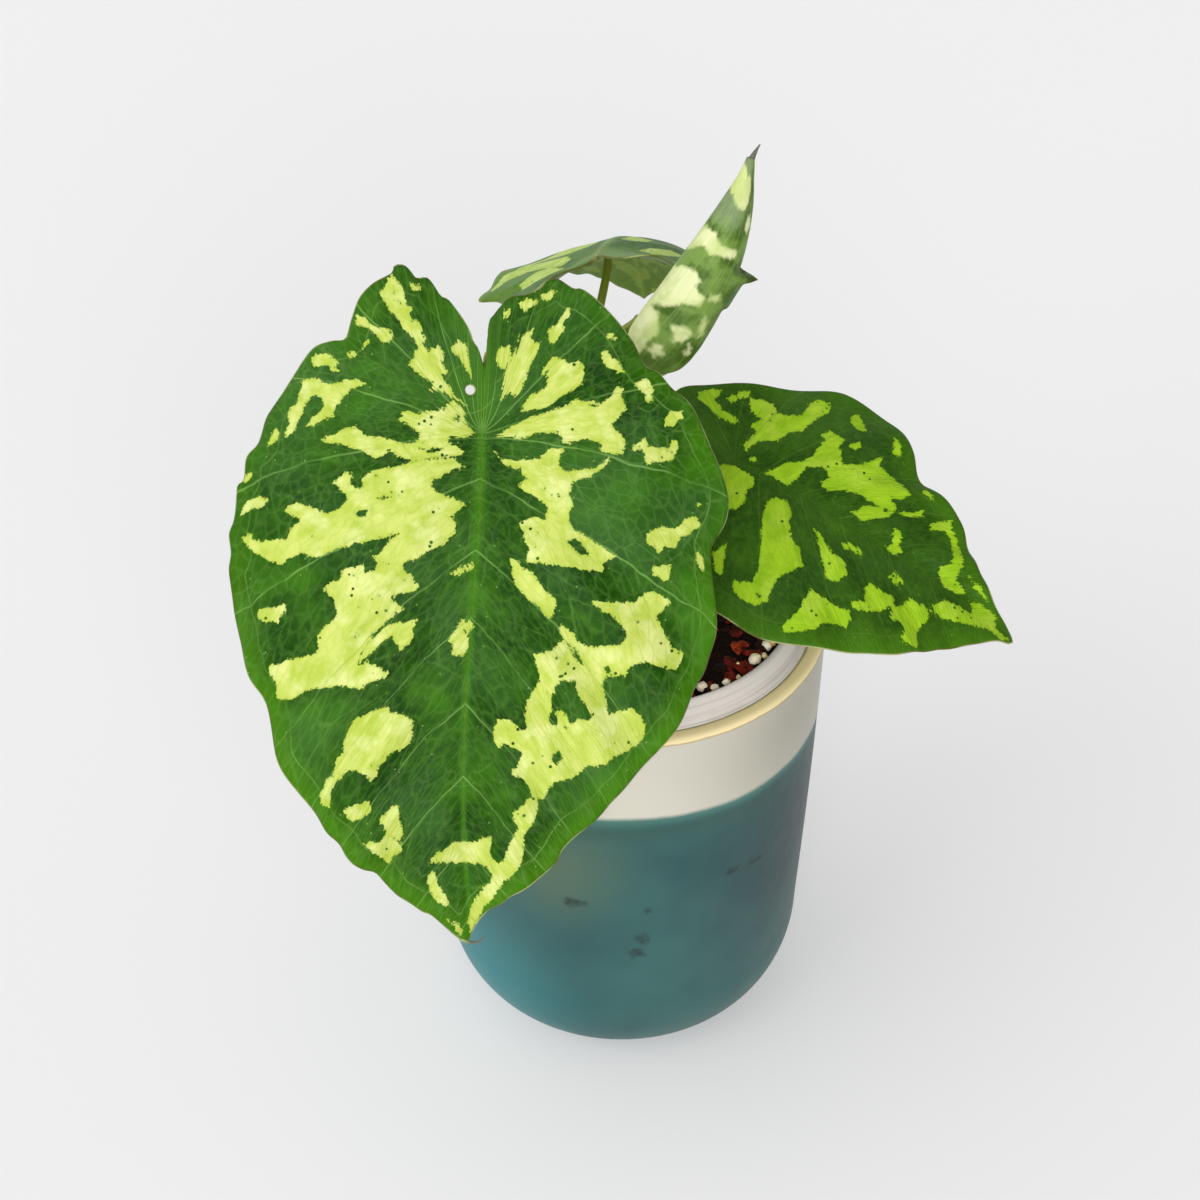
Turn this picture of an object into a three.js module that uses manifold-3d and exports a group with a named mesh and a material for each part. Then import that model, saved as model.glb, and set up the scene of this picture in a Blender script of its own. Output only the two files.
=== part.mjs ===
// A potted caladium with marbled, heart-shaped leaves: three open leaves and one young leaf still rolled,
// on four stalks that rise from a tuber in bark soil, in a plastic grow pot that stands inside a
// straight-sided stoneware pot with a dipped glaze.
// Millimetres, +Z up, origin at the centre of the stoneware pot's flat foot, front of the plant to -Y.

import * as THREE from "three";
import { mergeVertices } from "three/addons/utils/BufferGeometryUtils.js";
import Module from "manifold-3d";

const wasm = await Module();
wasm.setup();

// Driving dimensions
const GAP = 0.3; // between pieces that touch
const POT_HEIGHT = 137;
const POT_RIM_RADIUS = 59;
const POT_WALL = 4.8;
const POT_FLOOR = 7;
const POT_WAIST_RADIUS = 54.2; // where the straight wall meets the round of the foot
const POT_WAIST_HEIGHT = 31;
const POT_FOOT_RADIUS = 31.5;
const POT_BULGE = 0.5; // how far the wall swells at half height
const POT_SIDES = 56;

const LINER_LIP_RADIUS = 53.2;
const LINER_TOP = 142.6;
const LINER_LIP_DEPTH = 11;
const LINER_MOUTH_RADIUS = 49.6;
const LINER_BASE_RADIUS = 40;
const LINER_WALL = 1.2;
const LINER_SIDES = 48;
const DRAIN_HOLES = 6;
const DRAIN_HOLE_RADIUS = 4;
const DRAIN_RING_RADIUS = 29;

const SOIL_LEVEL = 139.6;
const SOIL_CHIPS = 90;
const SOIL_CHIP_RISE = [0.7, 2.4];
const SOIL_CHIP_RADIUS = [3, 6.5];

const TUBER_CENTRE = [0, 0, 108];
const TUBER_RADIUS = 18;
const TUBER_HALF_HEIGHT = 12;

const STALK_SIDES = 9;
const STALK_STEPS = 15;
const SIDE_VEINS = 7; // along a midrib, on each side
const STALK_CLEARANCE = 0.7; // between a stalk's flat end and its curved blade, and round it in the soil
const BLADE_THICKNESS = 0.8;

const degrees = THREE.MathUtils.degToRad;

// Each leaf: where the stalk meets the blade, which way the midrib heads (0 is +X, 90 is +Y) and how it
// pitches there, how it bends per millimetre towards the tip and back into the lobes, how the blade rolls and
// twists about its midrib, and how each half (left, right of the heading) rises from it and arches over.
// A margin is a list of [across, along] points measured from the stalk along the flat blade.
const FRONT = {
  at: [-38, -26, 219],
  heading: -92,
  pitch: -50,
  bend: -0.1,
  back: -0.1,
  roll: 0,
  twist: 0,
  fold: [12, 12],
  arch: [0.55, 0.55],
  sway: 3.5,
  ripple: 1.1,
  ripples: 17,
  quilt: 1.1,
  rays: 68,
  rings: 8,
  hole: { across: 3.5, along: -10.5, radius: 1.25 },
  right: [
    [0, -15], [2.5, -20], [6, -29], [12, -35], [18, -40.5], [23.5, -43], [28.5, -41.5], [33, -37],
    [36, -30], [37.5, -24], [46, -20], [54.5, -10.5], [59.5, 0], [65, 9], [68, 17], [68.5, 29],
    [68.5, 42.5], [66, 50.5], [61, 64], [55, 75.5], [50.5, 90], [44, 101], [37, 109], [28, 117.5],
    [20, 125], [10, 131.5], [3, 135.5], [0, 138.5],
  ],
  left: [
    [0, 138.5], [-2.5, 133], [-7.5, 128.5], [-18.5, 119.5], [-27.5, 110.5], [-38, 102], [-49, 89],
    [-55, 82], [-61.5, 71], [-65.5, 56.5], [-66, 42.5], [-64, 31], [-65, 26], [-67, 17.5], [-66, 10],
    [-62, -1], [-55.5, -9], [-49, -15], [-43, -19.5], [-37.5, -27], [-31, -33.5], [-24, -38.5],
    [-19.5, -40], [-12, -38], [-5, -33.5], [-1, -26.5], [0, -15],
  ],
};

const RIGHT = {
  at: [30, 5, 187],
  heading: -26,
  pitch: -10,
  bend: -0.25,
  back: -0.25,
  roll: -14,
  twist: 0,
  fold: [8, 8],
  arch: [0.5, 0.5],
  sway: 1.5,
  ripple: 0.9,
  ripples: 13,
  quilt: 0.8,
  rays: 54,
  rings: 6,
  right: [
    [0, -10], [2, -17], [8, -25], [17, -28.5], [25, -26], [31, -19], [38, -10], [43, 2], [46, 12],
    [46.5, 21], [46.5, 30.5], [44.5, 39], [40.5, 49], [34, 59.5], [27, 70], [12.5, 83], [4, 91],
    [0, 96.5],
  ],
  left: [
    [0, 96.5], [-4, 90], [-8.5, 80], [-15, 71], [-22, 63], [-25, 55], [-26.5, 48], [-33, 42],
    [-38, 35], [-40.5, 26], [-39.5, 18], [-35.5, 9.5], [-32, 2], [-27, -7], [-22.5, -17],
    [-18.5, -22.5], [-13, -24], [-6, -20], [-2, -15], [0, -10],
  ],
};

const BACK = {
  at: [-6, 83, 209],
  heading: 77,
  pitch: -14,
  bend: -0.65,
  back: 0.7,
  roll: 16,
  twist: -0.3,
  fold: [-13, -2],
  arch: [0.2, 1.2],
  sway: 0,
  ripple: 0.8,
  ripples: 13,
  quilt: 0.6,
  rays: 54,
  rings: 6,
  right: [
    [0, -9.5], [2.5, -16], [8.5, -22], [16, -25.5], [22, -23], [27, -15.5], [34, -7.5], [39, 3.5],
    [41.5, 15.5], [41, 27], [37.5, 41], [31.5, 54.5], [23, 66.5], [13.5, 75], [5, 80], [0, 85],
  ],
  left: [
    [0, 85], [-5, 80], [-13.5, 75], [-23, 66.5], [-31.5, 54.5], [-37.5, 41], [-41, 28], [-43, 17],
    [-44.5, 7], [-38, 1], [-33, -6], [-28, -14], [-22, -22], [-16, -25.5], [-8.5, -22], [-2.5, -16],
    [0, -9.5],
  ],
};

// The young leaf is rolled lengthwise about its own axis, underside out, its outer half wrapping the inner.
const ROLLED = {
  foot: [4, 13, 212.5],
  bow: [28, 22, 242.5],
  head: [34.2, 31, 269],
  horn: [36.8, 32.6, 272.4],
  radii: [7.2, 9.7, 10, 9.6, 9.1, 8.3, 7.1, 5.7, 4.1, 2.2, 0.8],
  tightness: 0.74, // inner margin's share of the roll's radius
  outerEdge: 104, // where the outer margin ends, from the front round towards +X
  turn: 490, // how far the blade winds round at its foot
  turnAtTip: 300,
  lobe: 0.3, // how far up the margins of both lobes end, and the notch between them, as shares of the roll
  sinus: 0.1,
  flapWidth: 0.16, // the outer margin's share of the blade that stands off the roll
  flap: [[0, 0], [0.36, 0], [0.375, 2.2], [0.44, 3], [0.48, 3.6], [0.505, 6], [0.52, 0], [1, 0]],
  across: 32,
  rows: [0, 0.04, 0.08, 0.115, 0.16, 0.21, 0.26, 0.295, 0.32, 0.38, 0.46, 0.54, 0.62, 0.71, 0.8, 0.9, 1],
};

const STALKS = {
  front: { foot: [-6, -3], width: [3.4, 1.9], lean: [-12, -6, 165], knee: 14 },
  right: { foot: [6, -5], width: [3, 1.6], lean: [17, -3, 160], knee: 12 },
  rolled: { foot: [3, 6], width: [2.8, 1.5], lean: [3, 10, 168], knee: 14 },
  back: { foot: [-6, 8], width: [2.6, 1.15], lean: [-10, 48, 181], knee: 5 },
};

// A repeatable draw between 0 and 1.
function draws(seed) {
  let state = seed;
  return () => {
    state = (state * 1664525 + 1013904223) % 4294967296;
    return state / 4294967296;
  };
}

// A closed geometry from vertices [[x, y, z]...] and triangles [[a, b, c]...].
function geometryFrom(vertices, triangles) {
  const geometry = new THREE.BufferGeometry();
  geometry.setAttribute("position", new THREE.Float32BufferAttribute(vertices.flat(), 3));
  geometry.setIndex(triangles.flat());
  return geometry;
}

// Booleans on geometries, by way of solids.
function solidOf(geometry) {
  const bare = new THREE.BufferGeometry();
  bare.setAttribute("position", geometry.getAttribute("position"));
  bare.setIndex(geometry.index);
  const merged = mergeVertices(bare, 1e-4);
  return new wasm.Manifold(
    new wasm.Mesh({
      numProp: 3,
      vertProperties: merged.getAttribute("position").array,
      triVerts: new Uint32Array(merged.index.array),
    }),
  );
}

function geometryOf(solid) {
  const mesh = solid.getMesh();
  const geometry = new THREE.BufferGeometry();
  geometry.setAttribute("position", new THREE.BufferAttribute(mesh.vertProperties, 3));
  geometry.setIndex(new THREE.BufferAttribute(mesh.triVerts, 1));
  return geometry;
}

function cut(geometry, cutters) {
  return geometryOf(cutters.reduce((solid, cutter) => solid.subtract(solidOf(cutter)), solidOf(geometry)));
}

// A lathe turned about Z from [radius, height] points that run from the axis, outside first, back to the axis.
function turned(profile, sides) {
  const points = profile.map(([radius, height]) => new THREE.Vector2(radius, height));
  return new THREE.LatheGeometry(points, sides).rotateX(Math.PI / 2);
}

// The stoneware pot: flat foot, round corner, a wall that widens straight to a rounded bare rim.
function potGeometry() {
  const profile = [[0, 0], [POT_FOOT_RADIUS, 0]];
  const cornerWidth = POT_WAIST_RADIUS - POT_FOOT_RADIUS;
  const cornerSteps = 6;
  for (let i = 1; i <= cornerSteps; i++) {
    const turn = (i / cornerSteps) * (Math.PI / 2);
    profile.push([
      POT_FOOT_RADIUS + cornerWidth * Math.sin(turn),
      POT_WAIST_HEIGHT * (1 - Math.cos(turn)),
    ]);
  }
  const lip = POT_WALL / 2;
  const wallSteps = 4;
  for (let i = 1; i <= wallSteps; i++) {
    const up = i / wallSteps;
    profile.push([
      THREE.MathUtils.lerp(POT_WAIST_RADIUS, POT_RIM_RADIUS, up) + POT_BULGE * Math.sin(Math.PI * up),
      THREE.MathUtils.lerp(POT_WAIST_HEIGHT, POT_HEIGHT - 1.6, up),
    ]);
  }
  profile.push([POT_RIM_RADIUS - 0.9, POT_HEIGHT - 0.3]);
  profile.push([POT_RIM_RADIUS - lip, POT_HEIGHT]);
  profile.push([POT_RIM_RADIUS - POT_WALL + 0.7, POT_HEIGHT - 0.3]);
  profile.push([POT_RIM_RADIUS - POT_WALL, POT_HEIGHT - 1.6]);
  profile.push([POT_WAIST_RADIUS - POT_WALL, POT_WAIST_HEIGHT]);
  profile.push([POT_WAIST_RADIUS - POT_WALL - 2, POT_FLOOR + 9]);
  profile.push([LINER_BASE_RADIUS + 2.5, POT_FLOOR]);
  profile.push([0, POT_FLOOR]);
  return turned(profile, POT_SIDES);
}

// The plastic grow pot: thin tapered wall, a lip folded outwards and down, drain holes in the floor.
function linerGeometry() {
  const floor = POT_FLOOR + GAP;
  const lipBottom = LINER_TOP - LINER_LIP_DEPTH;
  const neck = LINER_MOUTH_RADIUS + LINER_WALL - 0.2;
  const shell = turned(
    [
      [0, floor],
      [LINER_BASE_RADIUS - 1.5, floor],
      [LINER_BASE_RADIUS, floor + 1.5],
      [neck - 0.4, lipBottom - 2],
      [neck, LINER_TOP - LINER_WALL - 0.3],
      [LINER_LIP_RADIUS - LINER_WALL, LINER_TOP - LINER_WALL - 0.3],
      [LINER_LIP_RADIUS - LINER_WALL, lipBottom],
      [LINER_LIP_RADIUS, lipBottom],
      [LINER_LIP_RADIUS, LINER_TOP - 0.7],
      [LINER_LIP_RADIUS - 0.6, LINER_TOP],
      [LINER_MOUTH_RADIUS + 0.6, LINER_TOP],
      [LINER_MOUTH_RADIUS, LINER_TOP - 0.6],
      [LINER_MOUTH_RADIUS - 0.6, lipBottom - 2],
      [LINER_BASE_RADIUS - LINER_WALL, floor + 2],
      [LINER_BASE_RADIUS - LINER_WALL - 1, floor + LINER_WALL],
      [0, floor + LINER_WALL],
    ],
    LINER_SIDES,
  );
  const holes = [];
  for (let i = 0; i < DRAIN_HOLES; i++) {
    const turn = (i / DRAIN_HOLES) * 2 * Math.PI;
    const hole = new THREE.CylinderGeometry(DRAIN_HOLE_RADIUS, DRAIN_HOLE_RADIUS, 6, 12);
    hole.rotateX(Math.PI / 2);
    hole.translate(DRAIN_RING_RADIUS * Math.cos(turn), DRAIN_RING_RADIUS * Math.sin(turn), floor);
    holes.push(hole);
  }
  return cut(shell, holes);
}

// The tuber: a flattened, knobbly ball.
function tuberGeometry(swell) {
  const ball = new THREE.SphereGeometry(1, 16, 10).rotateX(Math.PI / 2);
  const spots = ball.getAttribute("position");
  const [x, y, z] = TUBER_CENTRE;
  for (let i = 0; i < spots.count; i++) {
    const spot = new THREE.Vector3().fromBufferAttribute(spots, i);
    const knob = 1 + 0.05 * Math.sin(5 * spot.x + 1) * Math.cos(4 * spot.y) * (1 - spot.z * spot.z);
    spots.setXYZ(
      i,
      x + spot.x * (TUBER_RADIUS * knob + swell),
      y + spot.y * (TUBER_RADIUS * knob + swell),
      z + spot.z * (TUBER_HALF_HEIGHT + swell),
    );
  }
  return ball;
}

// The soil: fills the grow pot, its top raised into bark chips and grains drawn by a seeded rule, with a
// hollow for the tuber and a plain hole for each stalk.
function soilGeometry(stalkCutters) {
  const draw = draws(7);
  const chips = [];
  for (let i = 0; i < SOIL_CHIPS; i++) {
    const reach = LINER_MOUTH_RADIUS * Math.sqrt(draw());
    const turn = draw() * 2 * Math.PI;
    chips.push({
      x: reach * Math.cos(turn),
      y: reach * Math.sin(turn),
      rise: THREE.MathUtils.lerp(...SOIL_CHIP_RISE, draw()),
      radius: THREE.MathUtils.lerp(...SOIL_CHIP_RADIUS, draw()),
    });
  }
  const height = (x, y) => {
    const edge = 1 - Math.pow(Math.hypot(x, y) / LINER_MOUTH_RADIUS, 8);
    const lifts = chips.map((chip) => {
      const away = Math.hypot(x - chip.x, y - chip.y) / chip.radius;
      return away < 1 ? chip.rise * Math.sqrt(1 - away * away) : 0;
    });
    return SOIL_LEVEL + Math.max(...lifts) * edge;
  };
  const sides = 44;
  const rings = 11;
  const topRadius = LINER_MOUTH_RADIUS - 0.6 - GAP;
  const bottomRadius = LINER_BASE_RADIUS - LINER_WALL - 1 - GAP;
  const bottom = POT_FLOOR + GAP + LINER_WALL + GAP;
  const vertices = [[0, 0, height(0, 0)]];
  for (let ring = 1; ring <= rings; ring++) {
    const radius = (topRadius * ring) / rings;
    for (let side = 0; side < sides; side++) {
      const turn = ((side + 0.5 * (ring % 2)) / sides) * 2 * Math.PI;
      const x = radius * Math.cos(turn);
      const y = radius * Math.sin(turn);
      vertices.push([x, y, height(x, y)]);
    }
  }
  for (let side = 0; side < sides; side++) {
    const turn = ((side + 0.5 * (rings % 2)) / sides) * 2 * Math.PI;
    vertices.push([bottomRadius * Math.cos(turn), bottomRadius * Math.sin(turn), bottom]);
  }
  vertices.push([0, 0, bottom]);
  const at = (ring, side) => 1 + (ring - 1) * sides + (side % sides);
  const triangles = [];
  for (let side = 0; side < sides; side++) {
    triangles.push([0, at(1, side), at(1, side + 1)]);
    for (let ring = 1; ring < rings; ring++) {
      const odd = ring % 2;
      const [a, b] = [at(ring, side), at(ring, side + 1)];
      const [c, d] = [at(ring + 1, side), at(ring + 1, side + 1)];
      triangles.push(odd ? [a, c, d] : [a, c, b], odd ? [a, d, b] : [b, c, d]);
    }
    const [a, b] = [at(rings, side), at(rings, side + 1)];
    const [c, d] = [at(rings + 1, side), at(rings + 1, side + 1)];
    triangles.push([a, c, d], [a, d, b], [c, vertices.length - 1, d]);
  }
  return cut(geometryFrom(vertices, triangles), [tuberGeometry(GAP), ...stalkCutters]);
}

// A round tube along a curve whose radius falls smoothly from its foot to its head, closed at both ends.
function stalkGeometry(curve, radiusAt) {
  const frames = curve.computeFrenetFrames(STALK_STEPS, false);
  const vertices = [];
  for (let step = 0; step <= STALK_STEPS; step++) {
    const centre = curve.getPointAt(step / STALK_STEPS);
    const radius = radiusAt(step / STALK_STEPS);
    for (let side = 0; side < STALK_SIDES; side++) {
      const turn = (side / STALK_SIDES) * 2 * Math.PI;
      const out = frames.normals[step].clone().multiplyScalar(Math.cos(turn));
      out.addScaledVector(frames.binormals[step], Math.sin(turn));
      vertices.push(centre.clone().addScaledVector(out, radius).toArray());
    }
  }
  const foot = vertices.push(curve.getPointAt(0).toArray()) - 1;
  const head = vertices.push(curve.getPointAt(1).toArray()) - 1;
  const triangles = [];
  for (let side = 0; side < STALK_SIDES; side++) {
    const next = (side + 1) % STALK_SIDES;
    for (let step = 0; step < STALK_STEPS; step++) {
      const here = step * STALK_SIDES;
      const there = here + STALK_SIDES;
      triangles.push([here + side, here + next, there + next], [here + side, there + next, there + side]);
    }
    const top = STALK_STEPS * STALK_SIDES;
    triangles.push([foot, next, side], [head, top + side, top + next]);
  }
  return geometryFrom(vertices, triangles);
}

// Where a point of the flat blade lies in space. The midrib bends as an arc in the upright plane of its
// heading. Each half turns up from it by its fold and arches over as an arc. Shallow valleys follow the
// side veins, and the midrib sways a little to the right on its way to the tip.
function bladePoint(leaf, across, along) {
  const length = leaf.right.at(-1)[1];
  const pitch = degrees(leaf.pitch);
  const bend = degrees(along > 0 ? leaf.bend : leaf.back);
  const slope = pitch + bend * along;
  const run = (Math.sin(slope) - Math.sin(pitch)) / bend;
  const rise = (Math.cos(pitch) - Math.cos(slope)) / bend;
  const heading = degrees(leaf.heading);
  const ahead = new THREE.Vector3(Math.cos(heading), Math.sin(heading), 0);
  const side = new THREE.Vector3(ahead.y, -ahead.x, 0);
  const up = new THREE.Vector3(0, 0, 1);
  const lift = ahead.clone().multiplyScalar(-Math.sin(slope)).addScaledVector(up, Math.cos(slope));
  const roll = degrees(leaf.roll + leaf.twist * along);
  const rightward = side.clone().multiplyScalar(Math.cos(roll)).addScaledVector(lift, Math.sin(roll));
  const upward = lift.clone().multiplyScalar(Math.cos(roll)).addScaledVector(side, -Math.sin(roll));
  const half = across > 0 ? 1 : 0;
  const fold = degrees(leaf.fold[half]);
  const arch = degrees(leaf.arch[half]);
  const away = Math.abs(across);
  const turn = fold - arch * away;
  const out = (Math.sin(fold) - Math.sin(turn)) / arch;
  const climb = (Math.cos(turn) - Math.cos(fold)) / arch;
  const share = Math.max(0, along / length);
  const sway = leaf.sway * 6.75 * share * share * (1 - share);
  const vein = along - 0.45 * away - 0.004 * away * away;
  const valley = (1 - Math.cos((2 * Math.PI * SIDE_VEINS * vein) / length)) / 2;
  const calm = Math.min(1, away / 15) * Math.min(1, Math.max(0, vein / 8));
  const point = new THREE.Vector3(...leaf.at);
  point.addScaledVector(ahead, run).addScaledVector(up, rise);
  point.addScaledVector(rightward, Math.sign(across) * out + sway);
  return point.addScaledVector(upward, climb + leaf.quilt * valley * calm);
}

function bladeNormal(leaf, across, along) {
  const step = 1;
  const ahead = bladePoint(leaf, across, along + step).sub(bladePoint(leaf, across, along - step));
  const right = bladePoint(leaf, across + step, along).sub(bladePoint(leaf, across - step, along));
  return right.cross(ahead).normalize();
}

// A round nibbled hole, as a pin square to the blade.
function holePin(leaf) {
  const { across, along, radius } = leaf.hole;
  const pin = new THREE.CylinderGeometry(radius, radius, 6, 12);
  const turn = new THREE.Quaternion().setFromUnitVectors(
    new THREE.Vector3(0, 1, 0),
    bladeNormal(leaf, across, along),
  );
  const seat = bladePoint(leaf, across, along);
  return pin.applyQuaternion(turn).translate(seat.x, seat.y, seat.z);
}

function marginPoints(points, count) {
  const curve = new THREE.CatmullRomCurve3(
    points.map(([across, along]) => new THREE.Vector3(across, along, 0)),
    false,
    "catmullrom",
    0.5,
  );
  return curve.getSpacedPoints(count).slice(0, count);
}

// Smoothed normals of a surface given by its points and faces.
function normalsOf(points, faces) {
  const surface = geometryFrom(points.map((point) => point.toArray()), faces);
  surface.computeVertexNormals();
  const normals = surface.getAttribute("normal");
  return points.map((point, i) => new THREE.Vector3().fromBufferAttribute(normals, i));
}

// An open leaf's blade: rings of its margin drawn in towards the stalk, rippled towards the margin, and
// thickened by the same amount over and under so that both faces split into the same triangles.
function bladeGeometry(leaf) {
  const { rays, rings } = leaf;
  const margin = [...marginPoints(leaf.right, rays / 2), ...marginPoints(leaf.left, rays / 2)];
  const at = (ring, ray) => 1 + (ring - 1) * rays + (ray % rays);
  const calm = [bladePoint(leaf, 0, 0)];
  const waves = [0];
  const faces = [];
  for (let ring = 1; ring <= rings; ring++) {
    const share = ring / rings;
    for (let ray = 0; ray < rays; ray++) {
      calm.push(bladePoint(leaf, margin[ray].x * share, margin[ray].y * share));
      waves.push(leaf.ripple * Math.sin((2 * Math.PI * leaf.ripples * ray) / rays) * share ** 3);
      const [c, d] = [at(ring, ray), at(ring, ray + 1)];
      if (ring === 1) {
        faces.push([0, d, c]);
        continue;
      }
      const [a, b] = [at(ring - 1, ray), at(ring - 1, ray + 1)];
      faces.push([a, d, c], [a, b, d]);
    }
  }
  const normals = normalsOf(calm, faces);
  const middle = calm.map((point, i) => point.addScaledVector(normals[i], waves[i]));
  const rim = margin.map((spot, ray) => at(rings, ray));
  return thickened(middle, faces, rim);
}

// A closed sheet round a middle surface: its faces, moved out along the normals of both sides, and a strip
// along the rim, which lists the edge's points in order.
function thickened(middle, faces, rim) {
  const normals = normalsOf(middle, faces);
  const count = middle.length;
  const vertices = [];
  for (const side of [1, -1]) {
    middle.forEach((point, i) => {
      vertices.push(point.clone().addScaledVector(normals[i], (side * BLADE_THICKNESS) / 2).toArray());
    });
  }
  const triangles = faces.map((face) => [...face]);
  faces.forEach(([a, b, c]) => triangles.push([a + count, c + count, b + count]));
  rim.forEach((here, i) => {
    const next = rim[(i + 1) % rim.length];
    triangles.push([here, next, next + count], [here, next + count, here + count]);
  });
  return geometryFrom(vertices, triangles);
}

// The rolled leaf's axis, its cross directions, and a point of it at a share of its height and of its width.
const rollAxis = new THREE.QuadraticBezierCurve3(
  new THREE.Vector3(...ROLLED.foot),
  new THREE.Vector3(...ROLLED.bow),
  new THREE.Vector3(...ROLLED.head),
);

function rollDirections(height) {
  const upward = rollAxis.getTangent(height);
  const front = new THREE.Vector3(0, -1, 0).addScaledVector(upward, upward.y).normalize();
  const right = new THREE.Vector3().crossVectors(upward, front);
  return { front, right };
}

// The value at a place in a list of [place, value] points, on straight lines between them.
function between(points, place) {
  const next = points.findIndex(([at], i) => i > 0 && place <= at);
  const [[from, low], [to, high]] = points.slice(next - 1, next + 1);
  return THREE.MathUtils.lerp(low, high, (place - from) / (to - from));
}

function rolledPoint(height, width) {
  const fromMidrib = Math.abs(2 * width - 1);
  const start = ROLLED.lobe * fromMidrib ** 5 + ROLLED.sinus * (1 - fromMidrib ** 2) ** 4;
  const up = start + height * (1 - start);
  const { front, right } = rollDirections(up);
  const turn = THREE.MathUtils.lerp(ROLLED.turn, ROLLED.turnAtTip, up);
  const angle = degrees(ROLLED.outerEdge - (1 - width) * turn);
  const { radii } = ROLLED;
  const radius = between(radii.map((value, i) => [i / (radii.length - 1), value]), up);
  const edge = Math.max(0, 1 - (1 - width) / ROLLED.flapWidth) ** 1.5;
  const reach = radius * THREE.MathUtils.lerp(ROLLED.tightness, 1, width) + edge * between(ROLLED.flap, up);
  const point = rollAxis.getPoint(up);
  point.addScaledVector(front, reach * Math.cos(angle));
  return point.addScaledVector(right, reach * Math.sin(angle));
}

function rolledGeometry() {
  const { across, rows } = ROLLED;
  const last = rows.length - 1;
  const middle = [];
  for (const row of rows) {
    for (let j = 0; j <= across; j++) middle.push(rolledPoint(row, j / across));
  }
  const at = (i, j) => i * (across + 1) + j;
  const faces = [];
  for (let i = 0; i < last; i++) {
    for (let j = 0; j < across; j++) {
      faces.push([at(i, j), at(i, j + 1), at(i + 1, j + 1)], [at(i, j), at(i + 1, j + 1), at(i + 1, j)]);
    }
  }
  const rim = [];
  for (let j = 0; j < across; j++) rim.push(at(0, j));
  for (let i = 0; i < last; i++) rim.push(at(i, across));
  for (let j = across; j > 0; j--) rim.push(at(last, j));
  for (let i = last; i > 0; i--) rim.push(at(i, 0));
  const sheet = solidOf(thickened(middle, faces, rim.reverse()));
  const horn = new THREE.QuadraticBezierCurve3(
    rollAxis.getPoint(0.93),
    new THREE.Vector3(...ROLLED.head),
    new THREE.Vector3(...ROLLED.horn),
  );
  const tip = solidOf(stalkGeometry(horn, (share) => THREE.MathUtils.lerp(1.6, 0.15, share ** 0.7)));
  const [whole] = sheet.add(tip).decompose().sort((a, b) => b.volume() - a.volume());
  return geometryOf(whole);
}

// A stalk's curve: straight up out of the tuber, leaning away, then square to the blade that it carries.
function stalkCurve(stalk, end, approach) {
  const [x, y] = stalk.foot;
  return new THREE.CatmullRomCurve3([
    new THREE.Vector3(x, y, TUBER_CENTRE[2]),
    new THREE.Vector3(x * 1.1, y * 1.1, SOIL_LEVEL - 4),
    new THREE.Vector3(...stalk.lean),
    end.clone().addScaledVector(approach, -stalk.knee),
    end,
  ]);
}

// Where a stalk ends under an open blade, and the direction that it comes in by.
function underBlade(leaf) {
  const middle = bladePoint(leaf, 0, 0);
  const approach = bladeNormal(leaf, 0, 0);
  return { end: middle.addScaledVector(approach, -BLADE_THICKNESS / 2 - STALK_CLEARANCE), approach };
}

// The rolled leaf's stalk meets its midrib in the notch between the lobes.
function underRoll() {
  const approach = rolledPoint(0.1, 0.5).sub(rolledPoint(0, 0.5)).normalize();
  return { end: rolledPoint(0, 0.5).addScaledVector(approach, -2 * STALK_CLEARANCE), approach };
}

const POT_GLAZE = new THREE.MeshStandardMaterial({ color: 0x42736d, roughness: 0.38, metalness: 0 });
const LINER_PLASTIC = new THREE.MeshStandardMaterial({ color: 0xc4bdae, roughness: 0.5, metalness: 0 });
const SOIL_BARK = new THREE.MeshStandardMaterial({ color: 0x2a1710, roughness: 0.95, metalness: 0 });
const TUBER_SKIN = new THREE.MeshStandardMaterial({ color: 0x5a4028, roughness: 0.9, metalness: 0 });
const STALK_GREEN = new THREE.MeshStandardMaterial({ color: 0x73821f, roughness: 0.5, metalness: 0 });
const LEAF_GREEN = new THREE.MeshStandardMaterial({ color: 0x2c6a2a, roughness: 0.45, metalness: 0 });
const YOUNG_GREEN = new THREE.MeshStandardMaterial({ color: 0xa9bd84, roughness: 0.5, metalness: 0 });

const plant = new THREE.Group();

function add(name, geometry, material) {
  const mesh = new THREE.Mesh(geometry, material);
  mesh.name = name;
  plant.add(mesh);
}

const ends = {
  front: underBlade(FRONT),
  right: underBlade(RIGHT),
  rolled: underRoll(),
  back: underBlade(BACK),
};
const stalkCutters = [];
for (const [name, stalk] of Object.entries(STALKS)) {
  const curve = stalkCurve(stalk, ends[name].end, ends[name].approach);
  const taper = (extra) => (share) =>
    extra + THREE.MathUtils.lerp(...stalk.width, Math.pow(share, 0.6));
  const whole = stalkGeometry(curve, taper(0));
  add(`stalk_${name}`, cut(whole, [tuberGeometry(GAP)]), STALK_GREEN);
  stalkCutters.push(stalkGeometry(curve, taper(STALK_CLEARANCE)));
}

add("pot", potGeometry(), POT_GLAZE);
add("grow_pot", linerGeometry(), LINER_PLASTIC);
add("soil", soilGeometry(stalkCutters), SOIL_BARK);
add("tuber", tuberGeometry(0), TUBER_SKIN);
add("blade_front", cut(bladeGeometry(FRONT), [holePin(FRONT)]), LEAF_GREEN);
add("blade_right", bladeGeometry(RIGHT), LEAF_GREEN);
add("blade_back", bladeGeometry(BACK), LEAF_GREEN);
add("blade_rolled", rolledGeometry(), YOUNG_GREEN);

export default plant;
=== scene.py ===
"""The looks of a potted caladium: marbled leaves on their stalks, bark and perlite, and its two pots.

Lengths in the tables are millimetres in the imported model's frame: +Z up, origin at the centre of the
pot's foot, front of the plant to -Y. MM turns them into Blender's metres.
"""

import math

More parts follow.
